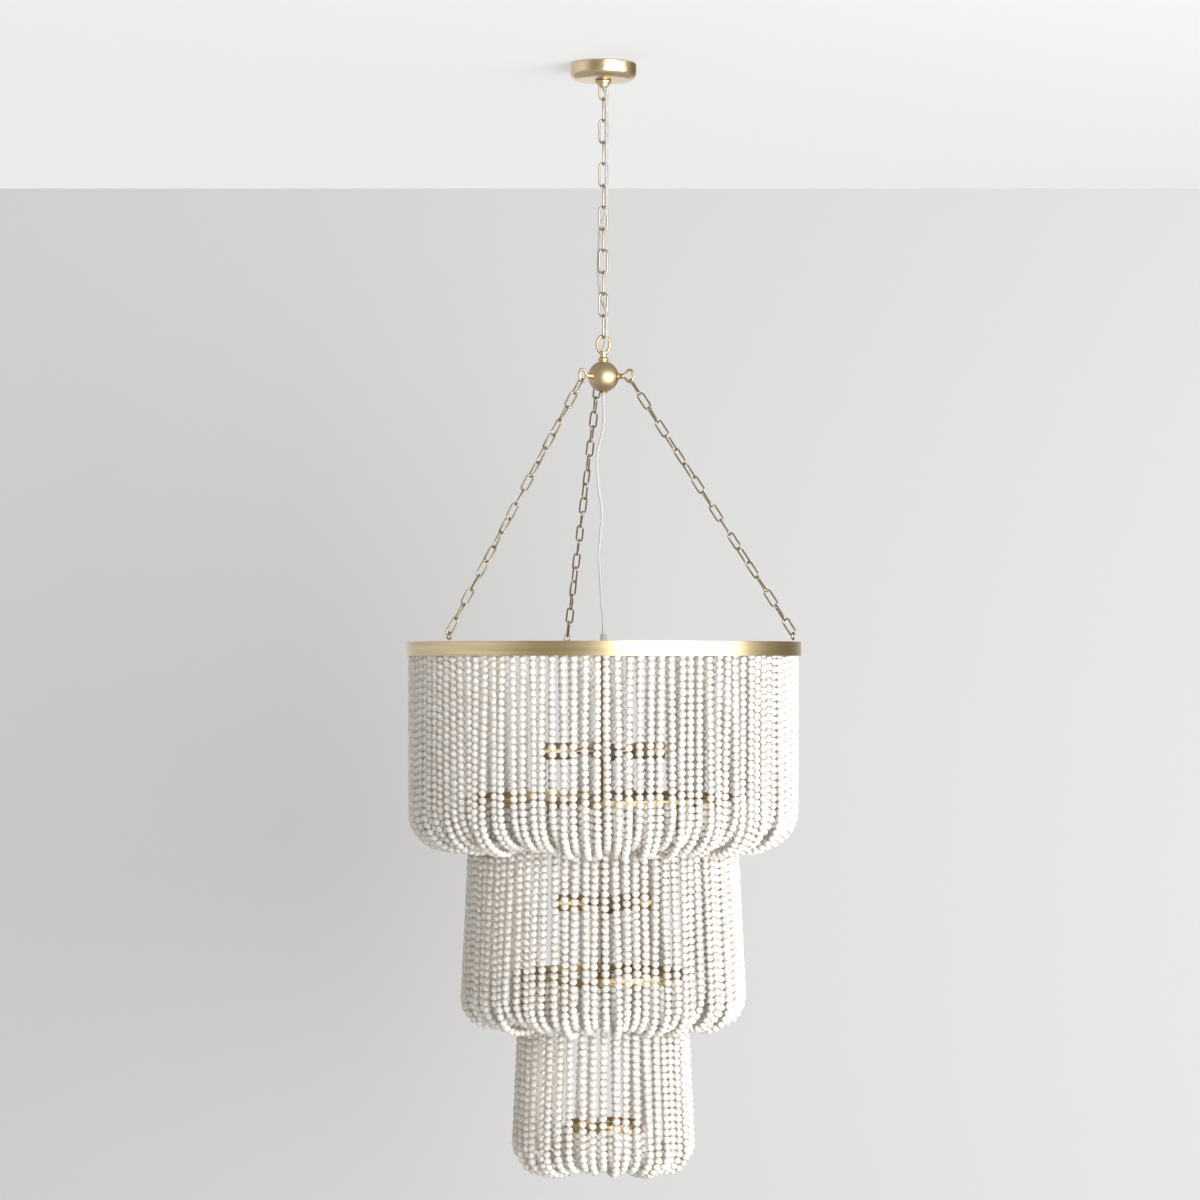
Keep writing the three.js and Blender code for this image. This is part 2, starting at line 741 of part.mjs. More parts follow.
function socketInsert(reach) {
  const start = socketProfileStations(reach).floor + seatGap;
  const radius = socketDiameter / 2 - socketWall - seatGap;
  return closed(new THREE.CylinderGeometry(radius, radius, insertThickness, slimSegments)
    .rotateZ(-Math.PI / 2)
    .rotateX(Math.PI / 2)
    .translate(start + insertThickness / 2, 0, 0));
}

// Cord routes, from the nipple down through the chain to the ball's neck, and from the bushing to the gland
const upperCordRoute = [
  [0, 0, -4], [0, 0, -20], [0, 0, -37], [1.3, -2.6, -41.5], [4.2, -5, -46.5], [4.9, -5, -54],
  [4.8, -4.8, -80], [4.8, -4.8, -120], [4.8, -4.8, -160], [4.8, -4.8, -200], [4.8, -4.8, -234],
  [3.2, -3.6, -241], [0, 0, -248], [-3.2, 3.6, -255], [-4.9, 4.8, -262], [-6.4, 5, -285], [-8.6, 5.4, -320],
  [-7.2, 5, -352], [-4.9, 4.8, -374], [-3.2, 3.6, -381], [0, 0, -388], [3.2, -3.6, -395], [4.8, -4.8, -402],
  [4.8, -5.2, -425], [4.9, -5.5, -439], [4.4, -5.1, -446], [1.8, -2.5, -453], [0, 0, -458], [0, 0, -460],
];
const lowerCordRoute = [
  [0, 0, -548], [1.1, -0.6, -574], [-3.1, -1.8, -602], [-8.3, -2.4, -622], [-10.2, -2.2, -637],
  [-9.4, -1.4, -665], [-7.3, -0.4, -686], [-3.1, 1, -714], [-1.8, 1.6, -736], [-3.7, 2.1, -751],
  [-6.5, 2.6, -786], [-6.5, 2.4, -806], [-4.4, 1.8, -835], [-2.9, 1, -868], [-0.6, 0.2, -892], [0, 0, -907],
];

// The ceiling side
place('ceiling_bracket', ceilingBracket(), 'zincSteel');
place('bracket_nipple', hollowNipple(), 'zincSteel');
place('bracket_nut', lockNut(), 'zincSteel');
place('canopy_loop', canopyLoop(), 'satinBrass');
place('canopy_cover', canopyCover(), 'satinBrass');
place('collar_ring', collarRing(), 'satinBrass');

// The main chain: links turn a quarter from one to the next
for (let k = 0; k < mainLinkCount; k++) {
  const name = `main_link_${String(k + 1).padStart(2, '0')}`;
  const length = mainPitch + mainContact;
  const middle = loopWireHeight + mainContact - k * mainPitch - length / 2;
  const geometry = link(length, mainLinkWidth, mainWire, wireSides, linkBowSteps);
  place(name, geometry, 'paleBrass', { azimuth: k % 2 === 0 ? 90 : 0, height: middle });
}

// The ball and the branches
place('ball', ball(), 'satinBrass', { azimuth: branchAzimuths[0] });
place('ball_top_eye', ballTopEye(), 'satinBrass');
place('cord_bushing', cordBushing(), 'clearPlastic');
branchAzimuths.forEach((azimuth, k) => {
  place(`ball_side_eye_${k + 1}`, sideEye(), 'satinBrass', { azimuth });
  place(`branch_chain_${k + 1}`, branchChain(), 'paleBrass', { azimuth });
});

// The band and the frame inside the beads
place('band_ring', bandRing(), 'paleBrass');
place('shade_spider', shadeSpider(), 'satinBrass');
place('cord_gland', cordGland(), 'clearPlastic');
place('centre_rod', rod(rodDiameter, rodTop, rodBottom), 'satinBrass');
place('rod_coupler', rodCoupler(), 'satinBrass');
place('lower_rod', rod(lowerRodDiameter, lowerRodTop, lowerRodBottom), 'satinBrass');
place('end_nut', endNut(), 'satinBrass');
place('inner_ring_1', innerRing(0, rodDiameter / 2 + seatGap), 'satinBrass');
place('inner_ring_2', innerRing(1, rodDiameter / 2 + seatGap), 'satinBrass');
place('inner_ring_3', innerRing(2, lowerRodDiameter / 2 + seatGap), 'satinBrass');
tierCounts.forEach((_, tier) => place(`bead_tier_${tier + 1}`, beadTier(tier), 'ivoryWood'));

// The lamp clusters
clusterHeights.forEach((height, cluster) => {
  place(`cluster_hub_${cluster + 1}`, clusterHub(height), 'satinBrass');
  socketAzimuths.forEach((azimuth, k) => {
    const reach = clusterReaches[cluster];
    place(`socket_${cluster + 1}_${k + 1}`, socketCup(reach), 'satinBrass', { azimuth, height });
    place(`socket_insert_${cluster + 1}_${k + 1}`, socketInsert(reach), 'creamPlastic', { azimuth, height });
  });
});

// The cord
place('upper_cord', cordAlong([...upperCordRoute, [0, 0, neckTop + seatGap]]), 'clearPlastic');
place('lower_cord', cordAlong([[0, 0, bushingBottom - seatGap], ...lowerCordRoute, [0, 0, glandTop + seatGap]]), 'clearPlastic');

export default chandelier;
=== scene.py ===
# %% [markdown]
# A beaded chandelier.
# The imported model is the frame: it says where each piece is and which body it rides on. This script
# dresses it. The plain solids are replaced by finer pieces in the same places, and every piece gets
# a finish of its own.

import math
import random
from collections import namedtuple

import bmesh
import bpy
from mathutils import Matrix, Vector


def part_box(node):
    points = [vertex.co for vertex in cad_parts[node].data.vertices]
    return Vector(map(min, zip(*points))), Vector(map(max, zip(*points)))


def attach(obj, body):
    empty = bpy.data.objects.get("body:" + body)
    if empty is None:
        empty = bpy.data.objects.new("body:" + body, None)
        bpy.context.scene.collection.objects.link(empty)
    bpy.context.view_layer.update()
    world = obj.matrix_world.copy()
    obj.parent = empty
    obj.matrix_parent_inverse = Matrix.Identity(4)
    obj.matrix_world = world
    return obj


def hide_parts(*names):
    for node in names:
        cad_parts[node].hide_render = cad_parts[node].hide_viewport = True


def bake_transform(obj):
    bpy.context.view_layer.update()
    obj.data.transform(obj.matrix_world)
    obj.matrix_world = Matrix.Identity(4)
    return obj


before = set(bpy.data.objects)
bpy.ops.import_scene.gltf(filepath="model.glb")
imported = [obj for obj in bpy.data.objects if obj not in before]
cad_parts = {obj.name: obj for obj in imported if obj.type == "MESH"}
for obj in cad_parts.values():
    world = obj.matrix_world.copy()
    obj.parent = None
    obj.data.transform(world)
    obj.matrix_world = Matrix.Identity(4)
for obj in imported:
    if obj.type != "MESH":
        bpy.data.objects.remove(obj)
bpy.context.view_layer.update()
scene = bpy.context.scene
scene.view_settings.view_transform = "Standard"
MM = 0.001

# %% [markdown]
# The camera stands level, about 5.7 m in front of the chandelier, on a long lens. The photograph's
# horizon lies a little below the middle of the picture, which a small upward shift of the lens gives
# without tilting the camera, so the vertical lines stay parallel. The picture, the horizon, the
# chandelier's axis and the ceiling are given in the photograph's pixels, each 1.62 mm at the axis.

# %% The camera
PICTURE = 1200
HORIZON_ROW = 660
CEILING_ROW = 65
AXIS_COLUMN = 603.3
FOCAL_PIXELS = 3500
PIXEL = 1.62 * MM


def add_object(name, data):
    made = bpy.data.objects.new(name, data)
    scene.collection.objects.link(made)
    return made


camera_data = bpy.data.cameras.new("camera")
camera_data.sensor_width = 36
camera_data.lens = camera_data.sensor_width * FOCAL_PIXELS / PICTURE
camera_data.shift_y = (HORIZON_ROW - PICTURE / 2) / PICTURE
camera_data.clip_end = 40
camera = add_object("camera", camera_data)
camera.location = (
    (PICTURE / 2 - AXIS_COLUMN) * PIXEL,
    -FOCAL_PIXELS * PIXEL,
    (CEILING_ROW - HORIZON_ROW) * PIXEL,
)
camera.rotation_euler = (math.radians(90), 0, 0)
scene.camera = camera
print("lens:", round(camera_data.lens, 1), "mm, camera at", [round(v, 3) for v in camera.location])

# %% [markdown]
# Every piece ends the same way: double vertices are merged, the faces turned outwards, the mesh
# smoothed except at its sharp edges, and the piece put on its body. One helper does that. It leaves
# out the first two for pieces that are joined from closed parts that may touch.

# %% Finishing a piece
WELD = 1e-6


def add_piece(bm, name, body, material, nodes, sharp, recalculate=True):
    if recalculate:
        bmesh.ops.remove_doubles(bm, verts=bm.verts, dist=WELD)
        bmesh.ops.recalc_face_normals(bm, faces=bm.faces)
    mesh = bpy.data.meshes.new(name)
    bm.to_mesh(mesh)
    bm.free()
    mesh.shade_smooth()
    if sharp:
        mesh.set_sharp_from_angle(angle=math.radians(sharp))
    piece = add_object(name, mesh)
    mesh.materials.append(material)
    if body:
        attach(piece, body)
    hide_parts(*nodes)
    return piece

# %% [markdown]
# Finishes. The metal is a soft champagne gold lacquer: satin, with a very fine speckle in its gloss
# and slow changes of tone. The beads are painted wood, matt with a slight sheen, and no two are quite
# the same shade. The speckle and the slow change are one effect at two scales, used by every finish,
# so it is a node group with named sockets, built once and placed with its own values each time.

# %% Shared effects
def add_node(tree, kind, inputs=(), **settings):
    """A node with its settings. Each input is given a value, or the socket that feeds it."""
    node = tree.nodes.new(kind)
    for setting, value in settings.items():
        setattr(node, setting, value)
    for socket, value in dict(inputs).items():
        if isinstance(value, bpy.types.NodeSocket):
            tree.links.new(value, node.inputs[socket])
        else:
            node.inputs[socket].default_value = value
    return node


def add_math(tree, operation, *values):
    """The result of a sum on values or sockets."""
    return add_node(tree, "ShaderNodeMath", enumerate(values), operation=operation).outputs[0]


def node_group(name, inputs, outputs):
    group = bpy.data.node_groups.new(name, "ShaderNodeTree")
    for socket, value in inputs.items():
        made = group.interface.new_socket(socket, in_out="INPUT", socket_type="NodeSocketFloat")
        made.default_value = value
    for socket in outputs:
        group.interface.new_socket(socket, in_out="OUTPUT", socket_type="NodeSocketFloat")
    return group, group.nodes.new("NodeGroupInput").outputs, group.nodes.new("NodeGroupOutput").inputs


# A value that wanders round the one given: Value + (noise - 0.5) * Spread
wander, given, result = node_group(
    "Wandering value",
    {"Value": 0.5, "Spread": 0.1, "Scale": 300.0},
    ("Value", "Noise"),
)
where = add_node(wander, "ShaderNodeTexCoord").outputs["Object"]
grain = {"Vector": where, "Scale": given["Scale"], "Detail": 3}
noise = add_node(wander, "ShaderNodeTexNoise", grain).outputs["Fac"]
offset = add_math(wander, "SUBTRACT", noise, 0.5)
wander.links.new(add_math(wander, "MULTIPLY_ADD", offset, given["Spread"], given["Value"]), result["Value"])
wander.links.new(noise, result["Noise"])
print("node group:", wander.name, "with", len(wander.nodes), "nodes")


def place_wander(tree, value, spread, scale):
    inputs = {"Value": value, "Spread": spread, "Scale": scale}
    node = add_node(tree, "ShaderNodeGroup", inputs, node_tree=wander)
    return node.outputs["Value"], node.outputs["Noise"]


def new_material(name):
    material = bpy.data.materials.new(name)
    material.use_nodes = True
    tree = material.node_tree
    return material, tree, tree.nodes["Principled BSDF"]


def mix_colours(tree, factor, dark, light):
    inputs = {"Factor": factor, "A": (*dark, 1), "B": (*light, 1)}
    return add_node(tree, "ShaderNodeMix", inputs, data_type="RGBA").outputs["Result"]


def slow_change(tree, scale, dark, light):
    """A colour that changes slowly between two over the piece."""
    return mix_colours(tree, place_wander(tree, 0.5, 1.0, scale)[0], dark, light)


def speckled_gloss(tree, shader, roughness, spread, scale, strength, depth):
    """A fine speckle in the gloss, with a faint bump of the same grain, its depth in metres."""
    gloss, grain = place_wander(tree, roughness, spread, scale)
    tree.links.new(gloss, shader.inputs["Roughness"])
    bump = add_node(tree, "ShaderNodeBump", {"Strength": strength, "Distance": depth, "Height": grain})
    tree.links.new(bump.outputs["Normal"], shader.inputs["Normal"])

# %% [markdown]
# The chandelier's metal is brass and steel under a thin lacquer. One even colour would look like
# plastic, and a painted picture would need a map for each piece. Here the tone wanders between two
# shades by the place in space, and the gloss has a fine speckle, so one function gives every metal.
# The band was brushed as it turned, so its tone follows fine lines round it: noise drawn out sideways.

# %% The metals
BRUSH_LINES = (5, 5, 330)


def metal(name, dark, light, roughness, brushed=False):
    """A metal whose tone changes slowly or, where it is brushed, in fine lines round the axis."""
    material, tree, shader = new_material(name)
    shader.inputs["Metallic"].default_value = 1
    if brushed:
        where = add_node(tree, "ShaderNodeTexCoord").outputs["Object"]
        stretched = add_node(tree, "ShaderNodeMapping", {"Vector": where, "Scale": BRUSH_LINES})
        grain = {"Vector": stretched.outputs["Vector"], "Scale": 1, "Detail": 4}
        lines = add_node(tree, "ShaderNodeTexNoise", grain)
        colour = mix_colours(tree, lines.outputs["Fac"], dark, light)
    else:
        colour = slow_change(tree, scale=22, dark=dark, light=light)
    tree.links.new(colour, shader.inputs["Base Color"])
    speckled_gloss(tree, shader, roughness, spread=0.12, scale=900, strength=0.08, depth=0.2 * MM)
    return material


satin_gold = metal("satin gold lacquer", (0.57, 0.44, 0.26), (0.66, 0.525, 0.33), 0.43)
canopy_gold = metal("canopy gold lacquer", (0.66, 0.52, 0.335), (0.78, 0.64, 0.435), 0.27)
band_gold = metal("band gold lacquer", (0.44, 0.355, 0.22), (0.82, 0.68, 0.43), 0.32, brushed=True)
chain_gold = metal("chain gold plate", (0.37, 0.31, 0.215), (0.50, 0.43, 0.31), 0.30)
# The brass inside the bead cage is a darker copy of the gold. Its darkness is painted shade for where it
# sits, and its slow change of tone is the metal's own.
inner_brass_with_painted_shade = metal("inner brass, darkened as painted shade", (0.38, 0.285, 0.15), (0.50, 0.39, 0.22), 0.32)
# The rods and the washer under the ball get a still darker brown brass. Its darkness is painted shade for
# the cage's inside and the ball's underside, over the metal's own tone.
rod_brass_with_painted_shade = metal("brown brass of the rods, darkened as painted shade", (0.30, 0.215, 0.12), (0.40, 0.30, 0.18), 0.42)
zinc = metal("zinc plate", (0.50, 0.51, 0.51), (0.62, 0.63, 0.62), 0.38)
print("metals:", satin_gold.name, "to", zinc.name)

# %% [markdown]
# The beads are painted cream white. Towards their holes the colour turns brown: bare wood where the paint
# is thin, and painted shade where the beads touch. Each bead carries its tone and how near each vertex is
# to the hole as attributes of its vertices, so one material serves them all. The inserts in the sockets are
# cream plastic, and the cord's clear jacket lets half of the light through.

# %% The painted beads, the lamp inserts and the clear cord
# Brown for the bead holes: bare wood, and painted shade where the beads touch.
BARE_WOOD_AND_PAINTED_SHADE = (0.36, 0.28, 0.19, 1)
bead_paint, tree, shader = new_material("painted wooden beads")
tone = add_node(tree, "ShaderNodeAttribute", attribute_name="bead_tone").outputs["Fac"]
# The second attribute says how near a vertex is to the hole. There the paint is mixed to brown: bare wood,
# and painted shade between the beads.
end = add_node(tree, "ShaderNodeAttribute", attribute_name="bead_hole_shade").outputs["Fac"]
paint = mix_colours(tree, tone, (0.81, 0.775, 0.72), (0.91, 0.89, 0.855))
paint_with_hole_shade = add_node(tree, "ShaderNodeMix", {"Factor": end, "A": paint, "B": BARE_WOOD_AND_PAINTED_SHADE}, data_type="RGBA")
tree.links.new(paint_with_hole_shade.outputs["Result"], shader.inputs["Base Color"])
speckled_gloss(tree, shader, roughness=0.52, spread=0.2, scale=420, strength=0.12, depth=0.4 * MM)

cream_plastic, tree, shader = new_material("cream insulating insert")
cream = slow_change(tree, scale=120, dark=(0.70, 0.64, 0.50), light=(0.80, 0.74, 0.61))
tree.links.new(cream, shader.inputs["Base Color"])
shader.inputs["Roughness"].default_value = 0.45

clear_plastic, tree, shader = new_material("clear cord jacket")
clear = slow_change(tree, scale=500, dark=(0.62, 0.62, 0.60), light=(0.80, 0.80, 0.79))
tree.links.new(clear, shader.inputs["Base Color"])
shader.inputs["Roughness"].default_value = 0.16
shader.inputs["Transmission Weight"].default_value = 0.5
shader.inputs["IOR"].default_value = 1.5
print("materials, with the solid's own:", len(bpy.data.materials))

# %% [markdown]
# The cord is the first piece to be made. It is clear PVC, 5 mm thick. The upper run is held all the way: it
# leaves the nipple, weaves through two of the links and goes into the ball's neck. It crosses four joints,
# so it is five pieces of one tube, and each of the four outer ones lies across one joint.
# The lower run hangs a little slack between the bushing and the gland. The photograph shows most of their
# way, so the points are listed, in millimetres, and a smooth line is led through them. A bevelled curve
# gives the tube, and it is made a mesh.

# %% The cord's routes
CORD = 5 * MM
upper_route = [
    (0, 0, -4), (0, 0, -20), (0, 0, -37), (1.3, -2.6, -41.5), (4.2, -5, -46.5), (4.9, -5, -54),
    (4.8, -4.8, -80), (4.8, -4.8, -120), (4.8, -4.8, -160), (4.8, -4.8, -200), (4.8, -4.8, -234),
    (3.2, -3.6, -241), (0, 0, -248), (-3.2, 3.6, -255), (-4.9, 4.8, -262), (-6.4, 5, -285),
    (-8.6, 5.4, -320), (-7.2, 5, -352), (-4.9, 4.8, -374), (-3.2, 3.6, -381), (0, 0, -388),
    (3.2, -3.6, -395), (4.8, -4.8, -402), (4.8, -5.2, -425), (4.9, -5.5, -439), (4.4, -5.1, -446),
    (1.8, -2.5, -453), (0, 0, -458), (0, 0, -460), (0, 0, -463),
]
lower_route = [
    (0, 0, -540.9), (0, 0, -548), (1.1, -0.6, -574), (-3.1, -1.8, -602), (-8.3, -2.4, -622),
    (-10.2, -2.2, -637), (-9.4, -1.4, -665), (-7.3, -0.4, -686), (-3.1, 1, -714), (-1.8, 1.6, -736),
    (-3.7, 2.1, -751), (-6.5, 2.6, -786), (-6.5, 2.4, -806), (-4.4, 1.8, -835), (-2.9, 1, -868),
    (-0.6, 0.2, -892), (0, 0, -907), (0, 0, -921),
]


def smooth_line(points, per_span=6):
    """Points along a centripetal curve through the given ones."""
    line = []
    ends = [2 * points[0] - points[1], *points, 2 * points[-1] - points[-2]]
    for p0, p1, p2, p3 in zip(ends, ends[1:], ends[2:], ends[3:]):
        t1 = (p1 - p0).length ** 0.5
        t2 = t1 + (p2 - p1).length ** 0.5
        t3 = t2 + (p3 - p2).length ** 0.5
        for k in range(per_span):
            t = t1 + (t2 - t1) * k / per_span
            a1 = p0.lerp(p1, t / t1)
            a2 = p1.lerp(p2, (t - t1) / (t2 - t1))
            a3 = p2.lerp(p3, (t - t2) / (t3 - t2))
            b1 = a1.lerp(a2, t / t2)
            b2 = a2.lerp(a3, (t - t1) / (t3 - t1))
            line.append(b1.lerp(b2, (t - t1) / (t2 - t1)))
    return [*line, points[-1]]


def tube_mesh(name, line, diameter):
    """A closed round tube of 12 sides along a line of points, from a bevelled curve."""
    data = bpy.data.curves.new(name, "CURVE")
    data.dimensions = "3D"
    data.bevel_depth = diameter / 2
    data.bevel_resolution = 2
    data.use_fill_caps = True
    spline = data.splines.new("POLY")
    spline.points.add(len(line) - 1)
    for point, at in zip(spline.points, line):
        point.co = (*at, 1)
    curve = add_object(name, data)
    bpy.context.view_layer.update()
    mesh = bpy.data.meshes.new_from_object(curve.evaluated_get(bpy.context.evaluated_depsgraph_get()))
    bpy.data.objects.remove(curve)
    bm = bmesh.new()
    bm.from_mesh(mesh)
    bpy.data.meshes.remove(mesh)
    return bm

# %% [markdown]
# Each piece of the upper cord takes the points between its top and its bottom, and a few more, so that
# neighbours run into one another. A piece at a joint is put on no body and stays where it is made, and the
# piece along the middle of the chain rides on it whole.

# %% The upper cord, woven through the main chain
OVERLAP = 3
upper_line = smooth_line([Vector(p) * MM for p in upper_route])
cord_spans = [
    # name, top, bottom, and for a bending piece its two bodies and where its bend starts and ends
    ("upper_cord_top", -4, -74, ("ceiling", "chain_top", -45, -70)),
    ("upper_cord_link", -74, -112, ("chain_top", "chain", -78, -108)),
    ("upper_cord_chain", -112, -386, None),
    ("upper_cord_end", -386, -427, ("chain", "chain_end", -390, -423)),
    ("upper_cord_neck", -427, -463, ("chain_end", "shade", -431, -457)),
]
for name, top, bottom, joint in cord_spans:
    span = [p for p in upper_line if bottom - OVERLAP <= p.z / MM <= top + OVERLAP]
    body = None if joint else "chain"
    tube = tube_mesh(name, span, CORD)
    piece = add_piece(tube, name, body, clear_plastic, ["upper_cord"], sharp=60)
    if joint:
        above, below, bend_start, bend_end = joint
        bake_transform(piece)
print("upper cord:", len(cord_spans), "pieces along", len(upper_line), "points")

# %% [markdown]
# The lower cord is a little longer than the way that it spans, so it bows. Both its ends are on the shade,
# and it rides there. The length of its own line is worked out.

# %% The lower cord, slack between the ball and the gland
lower_line = smooth_line([Vector(p) * MM for p in lower_route])
lower_length = sum((b - a).length for a, b in zip(lower_line, lower_line[1:]))
lower_cord = add_piece(tube_mesh("lower_cord_jacket", lower_line, CORD), "lower_cord_jacket", "shade",
                       clear_plastic, ["lower_cord"], sharp=60)
tuple(lower_line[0])
[tuple(p) for p in lower_line]
print("lower cord:", round(lower_length, 4), "m")

# %% [markdown]
# Turned pieces, such as the canopy, the ball and the rings, are a profile spun round the vertical
# axis, as on a lathe. Bent pieces, such as links, loops and eyes, are a round wire that runs straight
# and turns in one plane, as on a bending jig. Two helpers make nearly all of the metal. From here on
# every length is in millimetres, and heights are measured down from the ceiling.

# %% Turning
def turn_profile(bm, profile, steps, closed=True):
    """Spins a profile of (radius, height) points round Z."""
    verts = [bm.verts.new((radius * MM, 0, height * MM)) for radius, height in profile]
    pairs = list(zip(verts, verts[1:])) + ([(verts[-1], verts[0])] if closed else [])
    edges = [bm.edges.new(pair) for pair in pairs]
    bmesh.ops.spin(bm, geom=verts + edges, cent=(0, 0, 0), axis=(0, 0, 1), dvec=(0, 0, 0),
                   angle=2 * math.pi, steps=steps, use_merge=True, use_duplicate=False)
    bmesh.ops.remove_doubles(bm, verts=bm.verts, dist=1e-7)


def turned_piece(profile, name, body, material, node, steps, sharp, closed=True, place=None):
    bm = bmesh.new()
    turn_profile(bm, profile, steps, closed)
    if place:
        bmesh.ops.transform(bm, matrix=place, verts=bm.verts)
    add_piece(bm, name, body, material, [node], sharp)


def rounded(corner_a, corner, corner_b, radius, steps):
    """Points of a rounded corner of a profile."""
    a, c, b = Vector(corner_a), Vector(corner), Vector(corner_b)
    u, v = (a - c).normalized(), (b - c).normalized()
    half = u.angle(v) / 2
    start, end = c + u * radius / math.tan(half), c + v * radius / math.tan(half)
    centre = c + (u + v).normalized() * radius / math.sin(half)
    arms = [(start - centre).lerp(end - centre, k / steps).normalized() for k in range(steps + 1)]
    return [tuple(centre + arm * radius) for arm in arms]


def turn_about_axis(azimuth):
    return Matrix.Rotation(math.radians(azimuth), 4, "Z")


def put_round(bm, azimuth):
    """Turns a mesh made along +X to its azimuth."""
    bmesh.ops.rotate(bm, verts=bm.verts, cent=(0, 0, 0), matrix=turn_about_axis(azimuth).to_3x3())


def merge_into(bm, part):
    """Adds a small mesh to a bigger one, and frees the small one."""
    mesh = bpy.data.meshes.new("part")
    part.to_mesh(mesh)
    part.free()
    bm.from_mesh(mesh)
    bpy.data.meshes.remove(mesh)

# %% [markdown]
# A link, a loop and an eye start as a straight length of round wire. A curve with a round bevel could
# draw them too. Here a circle is extruded along each straight run and spun through each bend, as wire
# is bent over a pin, so a bend's radius and angle are what the maker gives.

# %% Bending
DEGREES_PER_STEP = 18


def bend_wire(bm, at, heading, plane, thickness, moves, sides, closed=True):
    """A round wire in one plane. A number is a straight run, a pair is a bend's radius and angle."""
    at, heading, plane = Vector(at) * MM, Vector(heading).normalized(), Vector(plane).normalized()
    matrix = Matrix((plane.cross(heading), plane, heading)).transposed().to_4x4()
    matrix.translation = at
    verts = bmesh.ops.create_circle(bm, segments=sides, radius=thickness / 2 * MM, matrix=matrix)["verts"]
    first = edges = list({edge for vert in verts for edge in vert.link_edges})
    for move in moves:
        if isinstance(move, tuple):
            radius, angle = move
            centre = at + plane.cross(heading) * math.copysign(radius * MM, angle)
            steps = max(2, round(abs(math.degrees(angle)) / DEGREES_PER_STEP))
            ring = edges + list({vert for edge in edges for vert in edge.verts})
            made = bmesh.ops.spin(bm, geom=ring, cent=centre, axis=plane, dvec=(0, 0, 0), angle=angle,
                                  steps=steps, use_merge=False, use_duplicate=False)["geom_last"]
            edges = [item for item in made if isinstance(item, bmesh.types.BMEdge)]
            rotation = Matrix.Rotation(angle, 3, plane)
            at = centre + rotation @ (at - centre)
            heading = rotation @ heading
        else:
            made = bmesh.ops.extrude_edge_only(bm, edges=edges)["geom"]
            moved = [item for item in made if isinstance(item, bmesh.types.BMVert)]
            bmesh.ops.translate(bm, verts=moved, vec=heading * move * MM)
            edges = [item for item in made if isinstance(item, bmesh.types.BMEdge)]
            edges = [edge for edge in edges if all(vert in moved for vert in edge.verts)]
            at = at + heading * move * MM
    if not closed:
        bmesh.ops.edgeloop_fill(bm, edges=first)
        bmesh.ops.edgeloop_fill(bm, edges=edges)
    bmesh.ops.remove_doubles(bm, verts=bm.verts, dist=WELD)

# %% [markdown]
# At the ceiling a steel bar is screwed to the box. A hollow threaded nipple goes through it, held by a
# nut, and the canopy's loop screws on to the nipple. The canopy is spun from thin sheet, with a rounded
# lower edge, and a ring on the loop's thread holds it up.

# %% The bracket's nipple and nut
def threaded(radius, top, bottom, pitch=1.0, depth=0.35):
    """The outer profile of a fine thread, drawn as rings, from top to bottom."""
    points = []
    for k in range(int((top - bottom) / pitch)):
        points += [(radius - depth, top - k * pitch), (radius, top - (k + 0.5) * pitch)]
    return [*points, (radius - depth, bottom)]


turned_piece([(3.1, -24.3), (3.1, -0.3), *threaded(5, -0.3, -24.3)],
             "threaded_nipple", "ceiling", zinc, "bracket_nipple", steps=48, sharp=50)

NUT_CORNERS, NUT_BOTTOM, NUT_HEIGHT = 9.24, -7.8, 5
bm = bmesh.new()
flat = turn_about_axis(90) @ Matrix.Translation((0, 0, NUT_BOTTOM * MM))
bmesh.ops.create_circle(bm, cap_ends=True, segments=6, radius=NUT_CORNERS * MM, matrix=flat)
top = bmesh.ops.extrude_face_region(bm, geom=bm.faces[:])["geom"]
top_verts = [item for item in top if isinstance(item, bmesh.types.BMVert)]
bmesh.ops.translate(bm, verts=top_verts, vec=(0, 0, NUT_HEIGHT * MM))
bmesh.ops.bevel(bm, geom=bm.edges[:], offset=0.5 * MM, affect="EDGES", segments=2, profile=0.5, material=-1)
add_piece(bm, "hex_lock_nut", "ceiling", zinc, ["bracket_nut"], sharp=25)
print("nut:", NUT_HEIGHT, "mm high,", 2 * NUT_CORNERS, "mm across its corners")

# %% [markdown]
# The canopy is a shallow pan that hides the bracket. It is spun from 1.2 mm sheet on a lathe, so its
# wall is one profile: down the outside, round the edge, across the floor and back along the inside.
# Solidify could give a thin pan its wall, but the profile also gives the bored floor its eased rim.
# The ring under it is a thick washer with broken edges.

# %% The canopy and its ring
CANOPY_RADIUS, CANOPY_DEPTH = 54, 25
CANOPY_EDGE, CANOPY_SHEET = 13, 1.2


def canopy_edge(radius):
    """A quarter circle round the centre of the canopy's rounded edge, from the wall to the floor."""
    quarter = [math.pi / 2 * k / 14 for k in range(15)]
    across, down = CANOPY_RADIUS - CANOPY_EDGE, CANOPY_EDGE - CANOPY_DEPTH
    return [(across + radius * math.cos(angle), down - radius * math.sin(angle)) for angle in quarter]


turned_piece(
    [
        (CANOPY_RADIUS, -0.3), *canopy_edge(CANOPY_EDGE), (10.6, -CANOPY_DEPTH), (10.3, -24.7),
        (10.3, -23.8), *reversed(canopy_edge(CANOPY_EDGE - CANOPY_SHEET)),
        (CANOPY_RADIUS - CANOPY_SHEET, 0), (CANOPY_RADIUS - 0.3, 0),
    ],
    "canopy_pan", "canopy", canopy_gold, "canopy_cover", steps=144, sharp=30)

